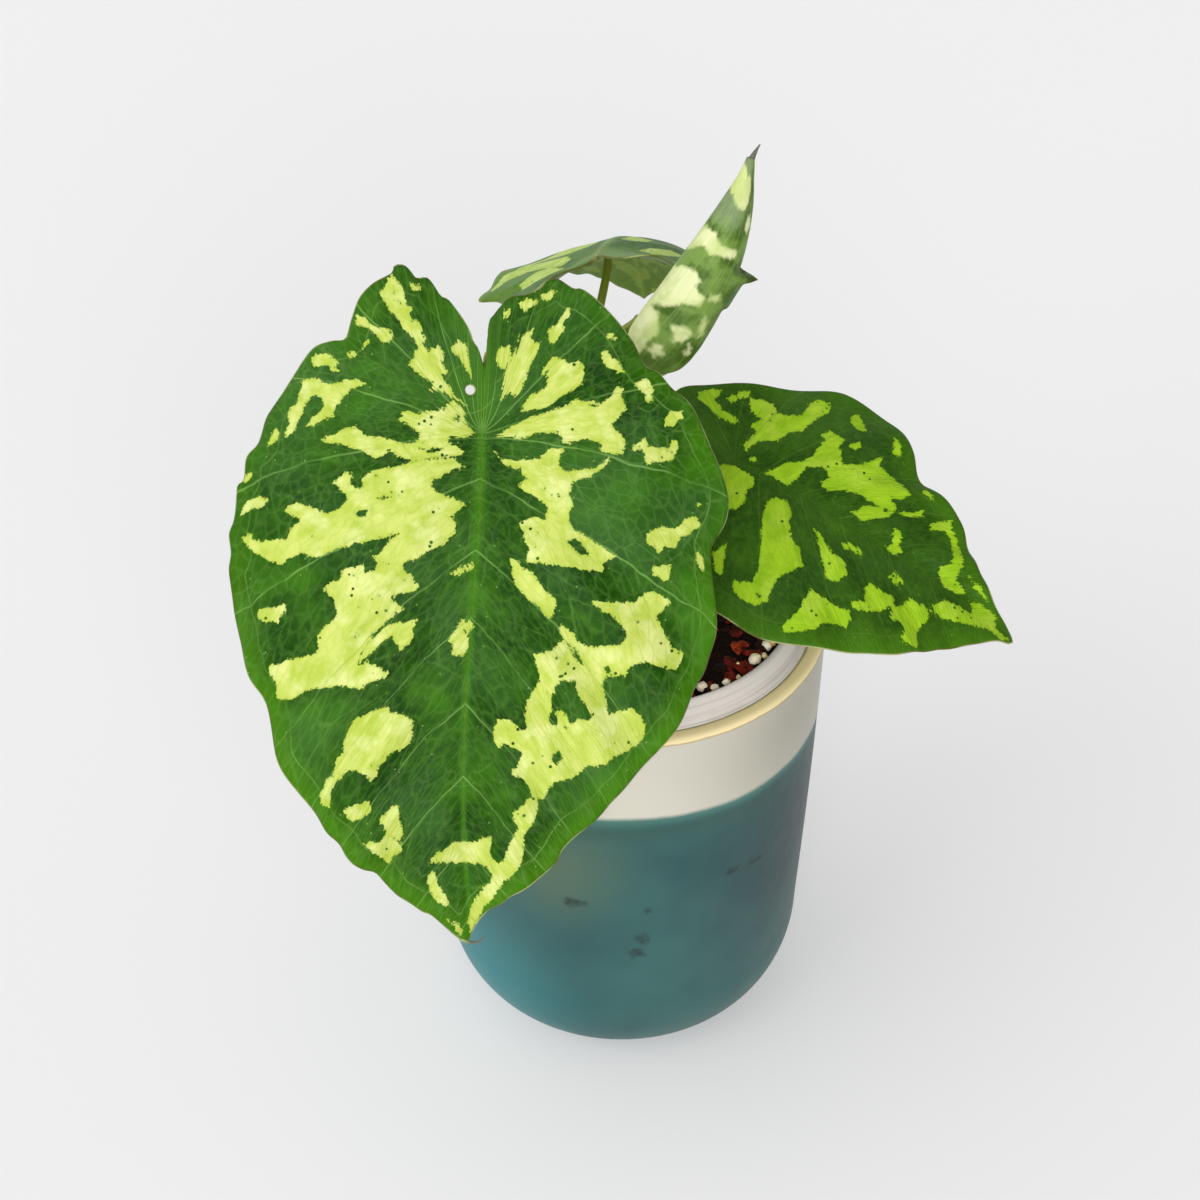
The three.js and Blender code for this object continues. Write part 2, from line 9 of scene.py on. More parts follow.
import bpy
import numpy as np
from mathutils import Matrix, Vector


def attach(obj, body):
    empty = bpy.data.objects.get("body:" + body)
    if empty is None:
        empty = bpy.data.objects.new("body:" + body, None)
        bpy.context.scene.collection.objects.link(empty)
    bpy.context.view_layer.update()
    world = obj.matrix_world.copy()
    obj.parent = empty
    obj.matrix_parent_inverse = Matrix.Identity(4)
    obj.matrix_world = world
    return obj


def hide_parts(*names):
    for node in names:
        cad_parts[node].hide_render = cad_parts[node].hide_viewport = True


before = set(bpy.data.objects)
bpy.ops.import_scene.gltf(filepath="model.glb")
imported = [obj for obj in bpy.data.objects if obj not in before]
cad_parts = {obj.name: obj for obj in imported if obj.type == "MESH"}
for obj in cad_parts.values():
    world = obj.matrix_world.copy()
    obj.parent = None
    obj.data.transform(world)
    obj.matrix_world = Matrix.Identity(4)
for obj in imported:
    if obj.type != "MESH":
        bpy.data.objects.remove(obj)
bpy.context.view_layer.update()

MM = 0.001

# Camera


def make_camera():
    """Looks down at the plant by 37.9 degrees, from straight in front and 0.85 m from its middle."""
    data = bpy.data.cameras.new("camera")
    data.lens = 88.08
    data.sensor_width = 36
    data.clip_start = 0.05
    camera = bpy.data.objects.new("camera", data)
    camera.location = (-0.0066, -0.67072, 0.66344)
    camera.rotation_euler = (math.radians(90 - 37.9), 0, 0)
    bpy.context.scene.collection.objects.link(camera)
    bpy.context.scene.camera = camera


make_camera()


# Meshes from whole arrays


def mesh_piece(name, points, faces, material, smooth=True, **attributes):
    """A piece from points in millimetres and faces as rows of point numbers, with one value a point for
    each attribute. It rides on the only body."""
    mesh = bpy.data.meshes.new(name)
    mesh.from_pydata(points * MM, [], faces.tolist())
    mesh.polygons.foreach_set("use_smooth", np.full(len(mesh.polygons), smooth))
    for label, values in attributes.items():
        layer = mesh.attributes.new(label, "FLOAT", "POINT")
        layer.data.foreach_set("value", np.asarray(values, np.float32))
    mesh.materials.append(material)
    mesh.update()
    piece = bpy.data.objects.new(name, mesh)
    bpy.context.scene.collection.objects.link(piece)
    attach(piece, "root")
    return piece


def grid_faces(rows, columns, wrap=False, start=0, flip=False):
    """Triangles of a grid of points stored row by row. A wrapped grid's last column joins its first."""
    row, column = np.meshgrid(np.arange(rows - 1), np.arange(columns - (not wrap)), indexing="ij")
    beside = (column + 1) % columns
    a, b = start + row * columns + column, start + row * columns + beside
    c, d = a + columns, b + columns
    halves = [np.stack(corners, -1).reshape(-1, 3) for corners in ([a, b, d], [a, d, c])]
    faces = np.concatenate(halves)
    return faces[:, ::-1] if flip else faces


def fan_faces(centre, ring, flip=False):
    """Triangles that join one point to each neighbouring pair of a closed ring of points."""
    faces = np.stack([np.full(len(ring), centre), ring, np.roll(ring, -1)], -1)
    return faces[:, ::-1] if flip else faces


def shell_faces(rings, sides):
    """Triangles of a closed shell: rings of points stored one after another, then its two end points."""
    count = rings * sides
    around = np.arange(sides)
    ends = fan_faces(count, around, flip=True), fan_faces(count + 1, count - sides + around)
    return np.concatenate([grid_faces(rings, sides, wrap=True), *ends])


def point_normals(points, faces):
    """Unit normals at the points: the sum of the neighbouring faces' area vectors."""
    corners = points[faces]
    area = np.cross(corners[:, 1] - corners[:, 0], corners[:, 2] - corners[:, 0])
    normals = np.zeros_like(points)
    for corner in range(3):
        np.add.at(normals, faces[:, corner], area)
    return normals / np.maximum(np.linalg.norm(normals, axis=1, keepdims=True), 1e-12)


def turned(profile, sides, wobble=None):
    """A profile of [radius, height] rows turned about Z, from the axis outside back to the axis inside.
    wobble gives the radius a small share more or less from the angle and the height."""
    radius, height = profile[1:-1, 0:1], profile[1:-1, 1:2]
    angle = np.linspace(0, 2 * np.pi, sides, endpoint=False)[None]
    spread = radius * (1 + (wobble(angle, height) if wobble else 0))
    ring = np.stack([spread * np.cos(angle), spread * np.sin(angle), height + 0 * angle], -1)
    ends = [[0, 0, profile[0, 1]], [0, 0, profile[-1, 1]]]
    return np.vstack([ring.reshape(-1, 3), ends]), shell_faces(len(profile) - 2, sides)


def smooth_curve(points, count):
    """Points evenly spaced along a Catmull-Rom curve through the given ones, whose end points are mirrored
    to carry it to both ends. Each stretch is the cubic that leaves and arrives along its neighbours'
    chords."""
    points = np.asarray(points, float)
    knots = np.vstack([2 * points[0] - points[1], points, 2 * points[-1] - points[-2]])
    place = np.linspace(0, len(points) - 1, 40 * len(points))
    step = np.minimum(place.astype(int), len(points) - 2)
    t = (place - step)[:, None]
    before, here, there, after = (knots[step + i] for i in range(4))
    leave, arrive = (there - before) / 2, (after - here) / 2
    square = 3 * (there - here) - 2 * leave - arrive
    cube = 2 * (here - there) + leave + arrive
    curve = here + leave * t + square * t**2 + cube * t**3
    length = run_length(curve)
    even = np.linspace(0, length[-1], count)
    return np.stack([np.interp(even, length, axis) for axis in curve.T], -1)


def run_length(path):
    """How far along a path each of its points lies."""
    return np.concatenate([[0], np.cumsum(np.linalg.norm(np.diff(path, axis=0), axis=1))])


# Materials


class Link:
    """A number or colour that a node gives. Arithmetic on it adds Math nodes to its material."""

    def __init__(self, shader, socket):
        self.shader, self.socket = shader, socket

    def maths(self, operation, *others):
        """A Math node's result, from this link first and others after it."""
        inputs = dict(enumerate([self, *others]))
        return self.shader.node("Math", {"operation": operation}, inputs)

    def __add__(self, other):
        return self.maths("ADD", other)

    def __sub__(self, other):
        return self.maths("SUBTRACT", other)

    def __mul__(self, other):
        return self.maths("MULTIPLY", other)

    def __truediv__(self, other):
        return self.maths("DIVIDE", other)

    def __rsub__(self, other):
        return self.shader.node("Math", {"operation": "SUBTRACT"}, {0: other, 1: self})

    def __pow__(self, power):
        return self.maths("POWER", power)

    def __abs__(self):
        return self.maths("ABSOLUTE")

    __radd__ = __add__
    __rmul__ = __mul__


class Shader:
    """A material under construction, with the coordinates and patterns that its finishes share."""

    def __init__(self, name, owner=None):
        self.material = owner or bpy.data.materials.new(name)
        self.material.use_nodes = True
        self.tree = self.material.node_tree
        self.tree.nodes.clear()

    def node(self, kind, settings=None, inputs=None, output=0):
        """Adds a node, sets its settings and a ramp's stops, then gives its sockets values or links."""
        made = self.tree.nodes.new("ShaderNode" + kind)
        for name, value in (settings or {}).items():
            if name == "stops":
                fill_ramp(made.color_ramp, value)
            else:
                setattr(made, name, value)
        for name, value in (inputs or {}).items():
            if isinstance(value, Link):
                self.tree.links.new(value.socket, made.inputs[name])
            else:
                made.inputs[name].default_value = value
        return Link(self, made.outputs[output]) if made.outputs else None

    def attributes(self, *names):
        """The values that the mesh keeps at its points under these names."""
        return [self.node("Attribute", {"attribute_name": name}, output="Fac") for name in names]

    def place(self):
        """Object coordinates, in metres."""
        return self.node("TexCoord", output="Object")

    def apart(self, vector):
        """A vector's three parts as numbers."""
        return [self.node("SeparateXYZ", {}, {0: vector}, output=part) for part in range(3)]

    def together(self, x, y, z):
        return self.node("CombineXYZ", {}, {0: x, 1: y, 2: z})

    def noise(self, vector, scale, detail=3, roughness=0.55):
        """Cloudy noise about 0.5, with so many clouds a unit and so many finer layers over them."""
        sockets = {"Vector": vector, "Scale": scale, "Detail": detail, "Roughness": roughness}
        return self.node("TexNoise", {}, sockets)

    def cells(self, vector, scale, feature="F1"):
        """Distance to the nearest cell's point, or with DISTANCE_TO_EDGE to the edge between two cells."""
        sockets = {"Vector": vector, "Scale": scale}
        return self.node("TexVoronoi", {"feature": feature}, sockets, "Distance")

    def length(self, vector):
        return self.node("VectorMath", {"operation": "LENGTH"}, {0: vector}, "Value")

    def step(self, value, low, high, start=0.0, end=1.0):
        """Runs smoothly from start to end as the value goes from low to high."""
        sockets = {"Value": value, "From Min": low, "From Max": high, "To Min": start, "To Max": end}
        return self.node("MapRange", {"interpolation_type": "SMOOTHSTEP"}, sockets)

    def mix(self, share, first, second):
        """One colour turning into another, each a link or screen values of 0 to 255."""
        pair = [colour if isinstance(colour, Link) else paint(*colour) for colour in (first, second)]
        return self.node("Mix", {"data_type": "RGBA"}, {0: share, 6: pair[0], 7: pair[1]}, output=2)

    def coats(self, colour, *coats):
        """A colour with coats over it, each a share that it covers and its own colour."""
        for share, coat in coats:
            colour = self.mix(share, colour, coat)
        return colour

    def ramp(self, value, *stops):
        """A colour from a value by stops, each a place and screen values of 0 to 255."""
        return self.node("ValToRGB", {"stops": stops}, {0: value})

    def finish(self, colour, roughness, height=None, bump=0.3, relief=0.001, **constants):
        """The surface itself. Height, a share of relief in metres, becomes a bump."""
        sockets = {"Base Color": colour, "Roughness": roughness}
        sockets.update({name.replace("_", " "): value for name, value in constants.items()})
        if height is not None:
            bump_sockets = {"Strength": bump, "Distance": relief, "Height": height}
            sockets["Normal"] = self.node("Bump", {}, bump_sockets)
        surface = self.node("BsdfPrincipled", {}, sockets)
        self.node("OutputMaterial", {}, {"Surface": surface})
        return self.material


def fill_ramp(ramp, stops):
    """Gives a colour ramp as many elements as there are stops, and their places and colours."""
    while len(ramp.elements) < len(stops):
        ramp.elements.new(0.5)
    for element, (place, colour) in zip(ramp.elements, stops):
        element.position = place
        element.color = paint(*colour)


def paint(red, green, blue):
    """A colour seen on a screen, 0 to 255, as the linear light that Blender mixes."""
    channels = np.array([red, green, blue]) / 255
    linear = np.where(channels <= 0.04045, channels / 12.92, ((channels + 0.055) / 1.055) ** 2.4)
    return (*linear.tolist(), 1.0)


# Leaves

BLADE_THICKNESS = 0.8
THINNING = 0.6  # how far in from the margin a blade reaches its full thickness
MIDRIB_HALF, MIDRIB_RIDGE = 1.9, 0.9  # the midrib's half width and how far it stands out below
VEIN_HALF, VEIN_RIDGE = 0.8, 0.3
LOBE_VEIN_STEP = math.radians(27)
VEIN_SLANT = math.cos(math.atan(0.7))

# Each open leaf: where its stalk meets the blade, which way the midrib heads (0 is +X) and how it pitches
# there, how it bends per millimetre ahead and back, how the blade rolls and twists about its midrib, how
# its left and right halves fold up from it and arch over, how it sways, ripples and quilts, how many rays
# and rings of points it has, and a hole's place and radius. The margin and the pale and green patches are
# outlines of [across, along] points from the stalk, right positive.
FRONT = {
    "at": (-38, -26, 219), "heading": -92, "pitch": -50, "bend": -0.1, "back": -0.1, "roll": 0, "twist": 0,
    "fold": (12, 12), "arch": (0.55, 0.55), "sway": 3.5, "ripple": 1.1, "ripples": 17, "quilt": 1.7,
    "rays": 500, "rings": 90, "hole": (3.5, -10.5, 1.25),
    "right": [
        [0, -17], [1.6, -21.4], [3.1, -23.6], [4.9, -27.9], [9.5, -34.3], [12, -35.7], [14.9, -39.6],
        [16.3, -40.4], [18.8, -40.1], [21.3, -42.9], [23.4, -43.4], [24.9, -42.5], [25.2, -41],
        [30.6, -38.2], [34.1, -34.6], [35.9, -29.3], [37, -23.9], [38.4, -23], [41.3, -22.7],
        [46.3, -20.6], [52.7, -12.9], [57.7, -5], [59.1, -2.1], [60.9, 4.3], [65, 8.2], [66.3, 14.3],
        [68.3, 16.3], [67.6, 25], [68.4, 29.3], [67.4, 34.3], [68.3, 40], [66.3, 50], [62, 59.3],
        [59.5, 67.9], [54.3, 75.4], [50.2, 89.3], [45.5, 97], [37.1, 107.9], [33.9, 111.1], [30.7, 115.7],
        [27.5, 117.9], [24.3, 119.3], [21.4, 122.9], [13.6, 129.3], [10, 130.7], [5.7, 135.7],
        [3.5, 137.8], [1.6, 138.4],
    ],
    "left": [
        [1.6, 138.4], [0.6, 137], [-0.2, 135.4], [-1.5, 133.4], [-3.3, 131.3], [-5.8, 129], [-9.8, 126.8],
        [-12, 125], [-21.4, 118.6], [-25, 115], [-27.9, 110.7], [-38, 101], [-52.3, 85.7], [-58, 77.9],
        [-62.3, 68.6], [-65.1, 64.3], [-66.2, 59.3], [-66.9, 54.3], [-66.6, 48.6], [-64.4, 32.1],
        [-64.8, 28.6], [-66.6, 25], [-67.6, 21], [-67.3, 15.7], [-64.8, 7.1], [-56.6, -7.1],
        [-50.9, -12.1], [-47.3, -16.4], [-43.7, -18.2], [-39.4, -25], [-32.3, -32.9], [-28, -36.8],
        [-25.5, -38.2], [-23.7, -38.2], [-20.1, -40.4], [-18.4, -40.7], [-16.2, -39.9], [-15.1, -38.2],
        [-13.4, -37.1], [-10.9, -35.9], [-8, -35.7], [-5.9, -34.6], [-2.3, -30.7], [-1.2, -28.6],
        [-0.6, -18], [0, -17],
    ],
}

RIGHT = {
    "at": (30, 5, 187), "heading": -26, "pitch": -10, "bend": -0.25, "back": -0.25, "roll": -14, "twist": 0,
    "fold": (8, 8), "arch": (0.5, 0.5), "sway": 1.5, "ripple": 0.9, "ripples": 13, "quilt": 0.8,
    "rays": 380, "rings": 64,
    "right": [
        [0, -10], [2, -17], [8, -25], [17, -28.5], [25, -26], [31, -19], [38, -10], [43, 2], [46, 12],
        [46.5, 21], [46.5, 30.5], [44.5, 39], [40.5, 49], [34, 59.5], [27, 70], [12.5, 83], [4.5, 90],
        [2, 93.5], [0, 94.5],
    ],
    "left": [
        [0, 94.5], [-1.6, 93], [-4, 89], [-8.5, 80], [-15, 71], [-22, 63], [-25, 55], [-26.5, 48],
        [-33, 42], [-38, 35], [-40.5, 26], [-39.5, 18], [-35.5, 9.5], [-32, 2], [-27, -7], [-22.5, -17],
        [-18.5, -22.5], [-13, -24], [-6, -20], [-2, -15], [0, -10],
    ],
}

BACK = {
    "at": (-6, 83, 209), "heading": 77, "pitch": -14, "bend": -0.65, "back": 0.7, "roll": 16, "twist": -0.3,
    "fold": (-13, -2), "arch": (0.2, 1.2), "sway": 0, "ripple": 0.8, "ripples": 13, "quilt": 0.6,
    "rays": 340, "rings": 60,
    "right": [
        [0, -9.5], [2.5, -16], [8.5, -22], [16, -25.5], [22, -23], [27, -15.5], [34, -7.5], [39, 3.5],
        [41.5, 15.5], [41, 27], [37.5, 41], [31.5, 54.5], [23, 66.5], [13.5, 75], [5, 80], [0, 85],
    ],
    "left": [
        [0, 85], [-5, 80], [-13.5, 75], [-23, 66.5], [-31.5, 54.5], [-37.5, 41], [-41, 28], [-43, 17],
        [-44.5, 7], [-38, 1], [-33, -6], [-28, -14], [-22, -22], [-16, -25.5], [-8.5, -22], [-2.5, -16],
        [0, -9.5],
    ],
}

FRONT["pale"] = [
    [[25.1, -41.1], [22.1, -37.3], [21.6, -34.4], [20.8, -32.3], [19, -31.9], [20, -30.2], [17.9, -28.1],
     [16.9, -26], [15.7, -24], [15.9, -22.3], [14.4, -20.4], [12.5, -22], [10.7, -19.9], [11, -17.7],
     [9.3, -14.9], [13.6, -12.8], [17.8, -14.6], [19.7, -16.7], [18.4, -19.6], [17.6, -21.7],
     [19.2, -24.5], [22, -26.6], [23.5, -28.7], [25.4, -31.5], [26.9, -33.2], [28, -35.8], [26.8, -38.1]],
    [[20.5, -38.5], [18, -38], [17.5, -36.5], [19.5, -36]],
    [[34.5, -30], [32, -29], [31, -27.5], [28.5, -27], [25, -25.5], [24.5, -23.5], [27, -22.5],
     [28.5, -24.5], [31.5, -26.5], [34.5, -27]],
    [[32.5, -22.5], [31, -23], [31, -21], [32.5, -20.5]],
    [[36.5, -20], [34.5, -20], [34, -19], [35.5, -18]],
    [[46, -18.5], [43.5, -20], [41, -19.5], [39.5, -18], [38.5, -15], [40, -14.8], [41.5, -16.3],
     [45.5, -16]],
    [[49, -12.5], [44, -13], [41.5, -11.5], [38.5, -12], [35, -12.5], [31, -11.5], [35.5, -10], [38, -7],
     [39.5, -4.5], [39.5, -2.5], [43, -2], [45, 0], [47.5, 0], [46, -2], [43.5, -4], [43, -7], [45, -8.5],
     [47, -7.5], [48.5, -4.5], [49.5, -1], [51.5, 2], [53.5, 4], [52, -1], [52.5, -3.5], [50.5, -7]],
    [[55.5, 0.5], [55, 3], [57, 5], [58.5, 6], [57.5, 2.5]],
    [[65.5, 12.5], [63.5, 12.5], [64.5, 15], [66, 15]],
    [[64, 20], [61, 19], [57.5, 19.5], [58.5, 21.5], [61.5, 22.5], [63.5, 23.5], [66, 24.5], [65, 22]],
    [[12, -16.5], [11, -13.5], [8.5, -10.5], [8, -9], [4, -6], [9.5, -9], [12, -10], [14, -10],
     [13.5, -12], [17, -14]],
    [[7, -23.5], [5, -22.5], [4, -18], [3, -13.5], [5, -16.5], [7, -19.5], [9, -21]],
    [[22.5, -2], [20.5, -4.5], [17, -4], [12.5, -4.5], [7.5, -7.5], [5, -5], [4.5, -1.5], [2, 1],
     [5, 2.5], [8.5, 2], [9, 4], [6.5, 4.5], [4.5, 6.5], [7, 7.5], [10, 7], [13, 8], [17, 9], [21, 4.5],
     [17, 3.5], [16.5, 1.5], [19.5, -0.5]],
    [[43, 3.5], [39.5, 2], [37, 0.5], [33.5, 0], [31, 2.5], [25.5, 3], [21, 4.5], [17, 9], [20, 8.5],
     [24.5, 6], [25.5, 7.5], [28, 8], [31, 7], [36, 5], [42, 4.5]],
    [[4, 10], [7, 11], [10, 12.5], [13, 13.5], [12.5, 16], [9, 18], [4, 19.5], [3, 20.5], [7.5, 23.5],
     [5.5, 25.5], [5.5, 27.5], [8, 29.5], [10, 31.5], [13, 33], [15, 34.5], [18.5, 35.5], [21, 36.5],
     [25, 36], [27.5, 34.5], [25, 33], [23, 30.5], [20.5, 28], [25.5, 29.5], [29, 30.5], [33.5, 32],
     [36.5, 32.5], [40.5, 34.5], [42.5, 35], [47, 34], [50.5, 35.5], [52, 37], [55.5, 36.5], [59, 34.5],
     [62, 33], [64, 30.5], [61, 29], [60.5, 30.5], [58.5, 31], [54, 30], [51, 30.5], [50.5, 28], [48, 25],
     [52, 22.5], [50.5, 21], [47.5, 21], [43.5, 22], [40.5, 23], [36.5, 22], [35, 19.5], [35, 18],
     [39, 15.5], [36.5, 12], [34, 12.5], [34.5, 15.5], [31, 16.5], [31.5, 13.5], [29, 12], [25.5, 11],
     [22, 10], [17.5, 9], [13, 8], [9, 8]],
    [[20, 36], [18.5, 38], [16.5, 39], [16.5, 40.5], [14.5, 41.5], [15, 43], [22.5, 45], [17.5, 48],
     [20, 50], [22, 51.5], [25.5, 54.5], [28.5, 59.5], [29, 63], [25, 63], [21, 64.5], [21, 65.5],
     [23.5, 67], [26.5, 68.5], [27, 69.5], [33, 69], [38.5, 69.5], [43.5, 70.5], [46.5, 73], [50, 73.5],
     [51.5, 72], [51.5, 70], [53, 67], [54.5, 64.5], [50.5, 63.5], [48.5, 62], [45.5, 61.5], [42, 61],
     [40, 59.5], [40.5, 55.5], [38.5, 53], [35.5, 50], [36.5, 45.5], [39.5, 43.5], [37.5, 41.5],
     [35, 40.5], [35.5, 38.5], [33.5, 37.5], [29.5, 36.5], [28.5, 38.5], [25.5, 38], [25.5, 36]],
    [[28.5, 60], [26.5, 57], [24.5, 54.5], [22, 52.5], [19, 52], [13.5, 50.5], [15.5, 53.5], [14.5, 55],
     [18, 59], [19.5, 56], [20, 55], [22.5, 57], [25.5, 59.5], [27.5, 61.5], [29, 63]],
    [[58.5, 49.5], [53.5, 48.5], [50, 47.7], [49.5, 50.5], [51, 51], [51, 53], [57.5, 52]],
    [[20.5, 74], [20, 75.5], [16.5, 76], [14, 77], [13.5, 81.5], [15.5, 85], [19, 86], [21, 88.5],
     [24.5, 89.5], [23, 91.5], [24.5, 93.5], [26.5, 92], [28, 91.5], [30.5, 92], [33.5, 94.5], [35.5, 97],
     [35.5, 99.5], [34.5, 100.5], [35.5, 102], [38, 101], [38.5, 98.5], [37, 97], [37, 95], [34.5, 93],
     [34.5, 89.5], [32, 87], [32, 83], [30.5, 80], [30, 78], [28, 77], [25.5, 76], [22.5, 74.5]],
    [[32.5, 102.5], [29.5, 100.5], [25.5, 99.5], [24.5, 101], [25, 102.5], [27.5, 104.5], [29.5, 105]],
    [[17, 100.5], [18.5, 100.5], [20.5, 103], [22.5, 104.5], [20.5, 106.5], [21, 108.5], [23, 110.5],
     [26.5, 110.5], [25, 113], [22.5, 115], [20, 117], [19.5, 115], [16.5, 113], [17, 111.5], [19.5, 109],
     [16.5, 109.5], [16, 108], [16.5, 104.5]],
    [[9.5, 115], [6.5, 113], [3, 110.5], [-3, 110.5], [-5.5, 109], [-8, 108.5], [-8, 111], [-7, 114.5],
     [-10, 115.5], [-11.5, 114.5], [-12.5, 110.5], [-14, 108], [-15.5, 105], [-14.3, 102.5],
     [-14.3, 101.5], [-16.4, 99.5], [-17.8, 97.5], [-20.5, 97], [-20.4, 100.5], [-19, 104.5],
     [-16.9, 107.5], [-16.4, 112], [-15.5, 115.5], [-13, 118.5], [-11, 120.5], [-7.8, 124.7], [-4.8, 128],
     [-3.1, 130.4], [-1.5, 132.8], [0.4, 135.8], [1, 132.7], [0.1, 129.8], [-1.3, 127], [-4.3, 123.6],
     [-7.7, 120], [-7, 118.5], [-5.5, 116.5], [0, 116.5], [4.5, 116], [9, 116]],
    [[9.5, 117], [8, 120], [7, 123], [5.5, 126], [5.2, 128.7], [9.5, 125.5], [10.5, 122], [10.3, 119]],
    [[6.4, 131.4], [4.2, 131.9], [2.6, 135.8], [3.9, 136.5]],
    [[3, 51], [0.5, 50.5], [-1, 52.5], [0.5, 55], [0, 58], [1.5, 60.5], [4.5, 60], [4.5, 57], [6, 55.5],
     [4, 53.5]],
    [[0.5, 35.5], [3.5, 36.3], [5.5, 37.5], [6.5, 39], [4, 38.5], [0.5, 36.8]],
    [[-5.5, -32], [-7.3, -32], [-7, -30.5], [-5.5, -29.5]],
    [[-9, -33.7], [-11.5, -35], [-14.3, -34.5], [-13, -33], [-10.8, -31.5]],
    [[-15, -36], [-19, -37.7], [-18, -35.7], [-16, -34.2]],
    [[-22.5, -33.3], [-23.1, -32], [-22.9, -30], [-21, -29.5], [-21.5, -26.5], [-20, -25], [-18.7, -23],
     [-17.5, -23.5], [-17.3, -26], [-19, -28], [-21, -31]],
    [[-33, -25.5], [-34.5, -26.5], [-35.5, -25], [-33.5, -24]],
    [[-32.5, -21.5], [-34, -20], [-36.5, -18.5], [-37.5, -15.7], [-34.5, -16.3], [-32, -18],
     [-31.5, -20.5]],
    [[-40.5, -13], [-43, -14.5], [-44.8, -14.3], [-45.5, -11.5], [-45.2, -8.2], [-44, -8.5], [-43.5, -10],
     [-41.5, -11.8]],
    [[-49, -4], [-50.5, -5.7], [-53.5, -6.3], [-54.5, -4.3], [-52.5, -3.7], [-51, -2.3], [-49, -2.3]],
    [[-39.5, 6.5], [-41, 3.5], [-43.7, 1], [-44.5, 3.5], [-50, 3.7], [-51, 1.7], [-53, 1.8], [-53.5, 4],
     [-52, 5], [-51.2, 7.5], [-46.5, 7.9], [-44.5, 8.6], [-43.3, 5], [-42.3, 3.3]],
    [[-3.3, -19], [-4.5, -21.7], [-7.3, -22.3], [-7.3, -18.5], [-6, -16.2], [-4.8, -16.5]],
    [[-9.8, -25], [-13.4, -27.3], [-13, -24.3], [-14.5, -23], [-14.3, -20], [-13, -18], [-11.5, -13.5],
     [-10, -9.3], [-8.5, -8.9], [-7, -10], [-5, -7.5], [-5.5, -10.7], [-6, -15.5], [-7.5, -18.5],
     [-9.5, -22.5]],
    [[-16, -16.5], [-18.7, -19], [-21, -19.3], [-22.5, -18], [-26, -19], [-27, -15.5], [-27.1, -12.5],
     [-24.5, -11], [-20, -8.5], [-17.3, -5.7], [-12.3, -5], [-10.7, -4.9], [-11.2, -7], [-12.6, -8.9],
     [-15, -10], [-17, -11.5], [-17.5, -13.9], [-15.8, -15]],
    [[-4, 1.8], [-7.3, -0.4], [-12.3, -2.9], [-18, -5], [-22.5, -6.5], [-25, -8.2], [-31.5, -7.5],
     [-34.5, -9.3], [-36, -12], [-37.3, -11.4], [-37, -8.5], [-38.6, -6.4], [-36.5, -3.9], [-34.8, -1.8],
     [-37, 0.7], [-38.6, 3.6], [-38, 6.1], [-32, 5.2], [-32.3, 3.6], [-28.5, 2], [-25, 3.2], [-22, 3.3],
     [-20.9, 0.6], [-14.5, 0.7], [-11.5, 2.5], [-8, 2]],
    [[-3.4, 5.7], [-5.5, 7.8], [-8, 8.2], [-14, 7.5], [-16, 7.5], [-18, 5], [-23, 4.4], [-21, 6.8],
     [-21.2, 9.3], [-22.6, 10.7], [-26.5, 10.7], [-30, 10], [-34.5, 7], [-33.4, 9.3], [-30, 11.8],
     [-25, 13.5], [-24, 17], [-25.7, 18.2], [-24.4, 21.5], [-24.5, 25], [-18.5, 25], [-18.7, 20],
     [-16, 18.2], [-10.5, 15], [-12.6, 13], [-11, 10.4], [-7.3, 10]],
    [[-11.5, 25], [-12.5, 23.5], [-16, 23], [-18.5, 24], [-24.5, 24.5], [-29.5, 28], [-32.5, 30],
     [-38, 33], [-35.5, 34], [-34, 35], [-34.8, 36.5], [-33.5, 37.3], [-29.5, 36.8], [-26.5, 36],
     [-23, 36], [-19.5, 35.2], [-13.7, 35], [-14.4, 31.5], [-13, 29.3], [-13, 27]],
    [[-9.5, 34.2], [-11.5, 34.7], [-16, 38], [-18.7, 41], [-21.5, 43], [-22.6, 45.7], [-22, 49.7],
     [-20, 48.5], [-18.7, 46.8], [-15.5, 45], [-11.5, 41.3], [-10.5, 38.5]],
    [[-32, 45], [-38, 45], [-43.7, 45], [-46.5, 42.5], [-49, 42], [-53.7, 44.6], [-52, 47], [-49.5, 48.5],
     [-50.5, 50.7], [-53, 54], [-54.8, 57.5], [-58.7, 58.6], [-58.4, 60.7], [-56, 63], [-52, 61.8],
     [-47.3, 61], [-43.7, 61.4], [-42.6, 63], [-43, 65], [-41, 64], [-39.8, 65], [-37, 65], [-36.4, 67],
     [-37, 70], [-39, 75], [-45, 73.2], [-47.3, 75], [-49, 78.5], [-48, 82], [-45, 84.5], [-40, 86.5],
     [-38, 88.2], [-33.7, 88.7], [-30, 91.7], [-24.7, 93.5], [-22, 98.2], [-18.5, 97.5], [-18.3, 94.5],
     [-16.5, 93], [-13, 91.3], [-15, 89.3], [-16, 85.3], [-13.4, 84], [-11.2, 83.5], [-9.8, 84.8],
     [-8.5, 83], [-8.4, 80], [-9.4, 76.4], [-12.6, 76.4], [-14, 78.2], [-16.7, 79.6], [-16.4, 74.3],
     [-17.6, 70], [-19.8, 67], [-19.4, 63], [-18, 59.4], [-22.3, 58.2], [-24.8, 55.5], [-23.4, 52],
     [-24, 51.7], [-27, 52.5], [-29.4, 55.7], [-32.3, 57], [-36.6, 56.8], [-41, 56], [-42, 53.2],
     [-40, 51], [-37.3, 48.2]],
    [[-45.5, 26.6], [-49.5, 25], [-53.3, 25], [-55, 23.2], [-58.4, 21.8], [-60.5, 24], [-57.5, 26.4],
     [-54.5, 27.5], [-53.7, 30.4], [-50.5, 30.7], [-49, 31.8], [-47.5, 30], [-45.5, 29.3]],
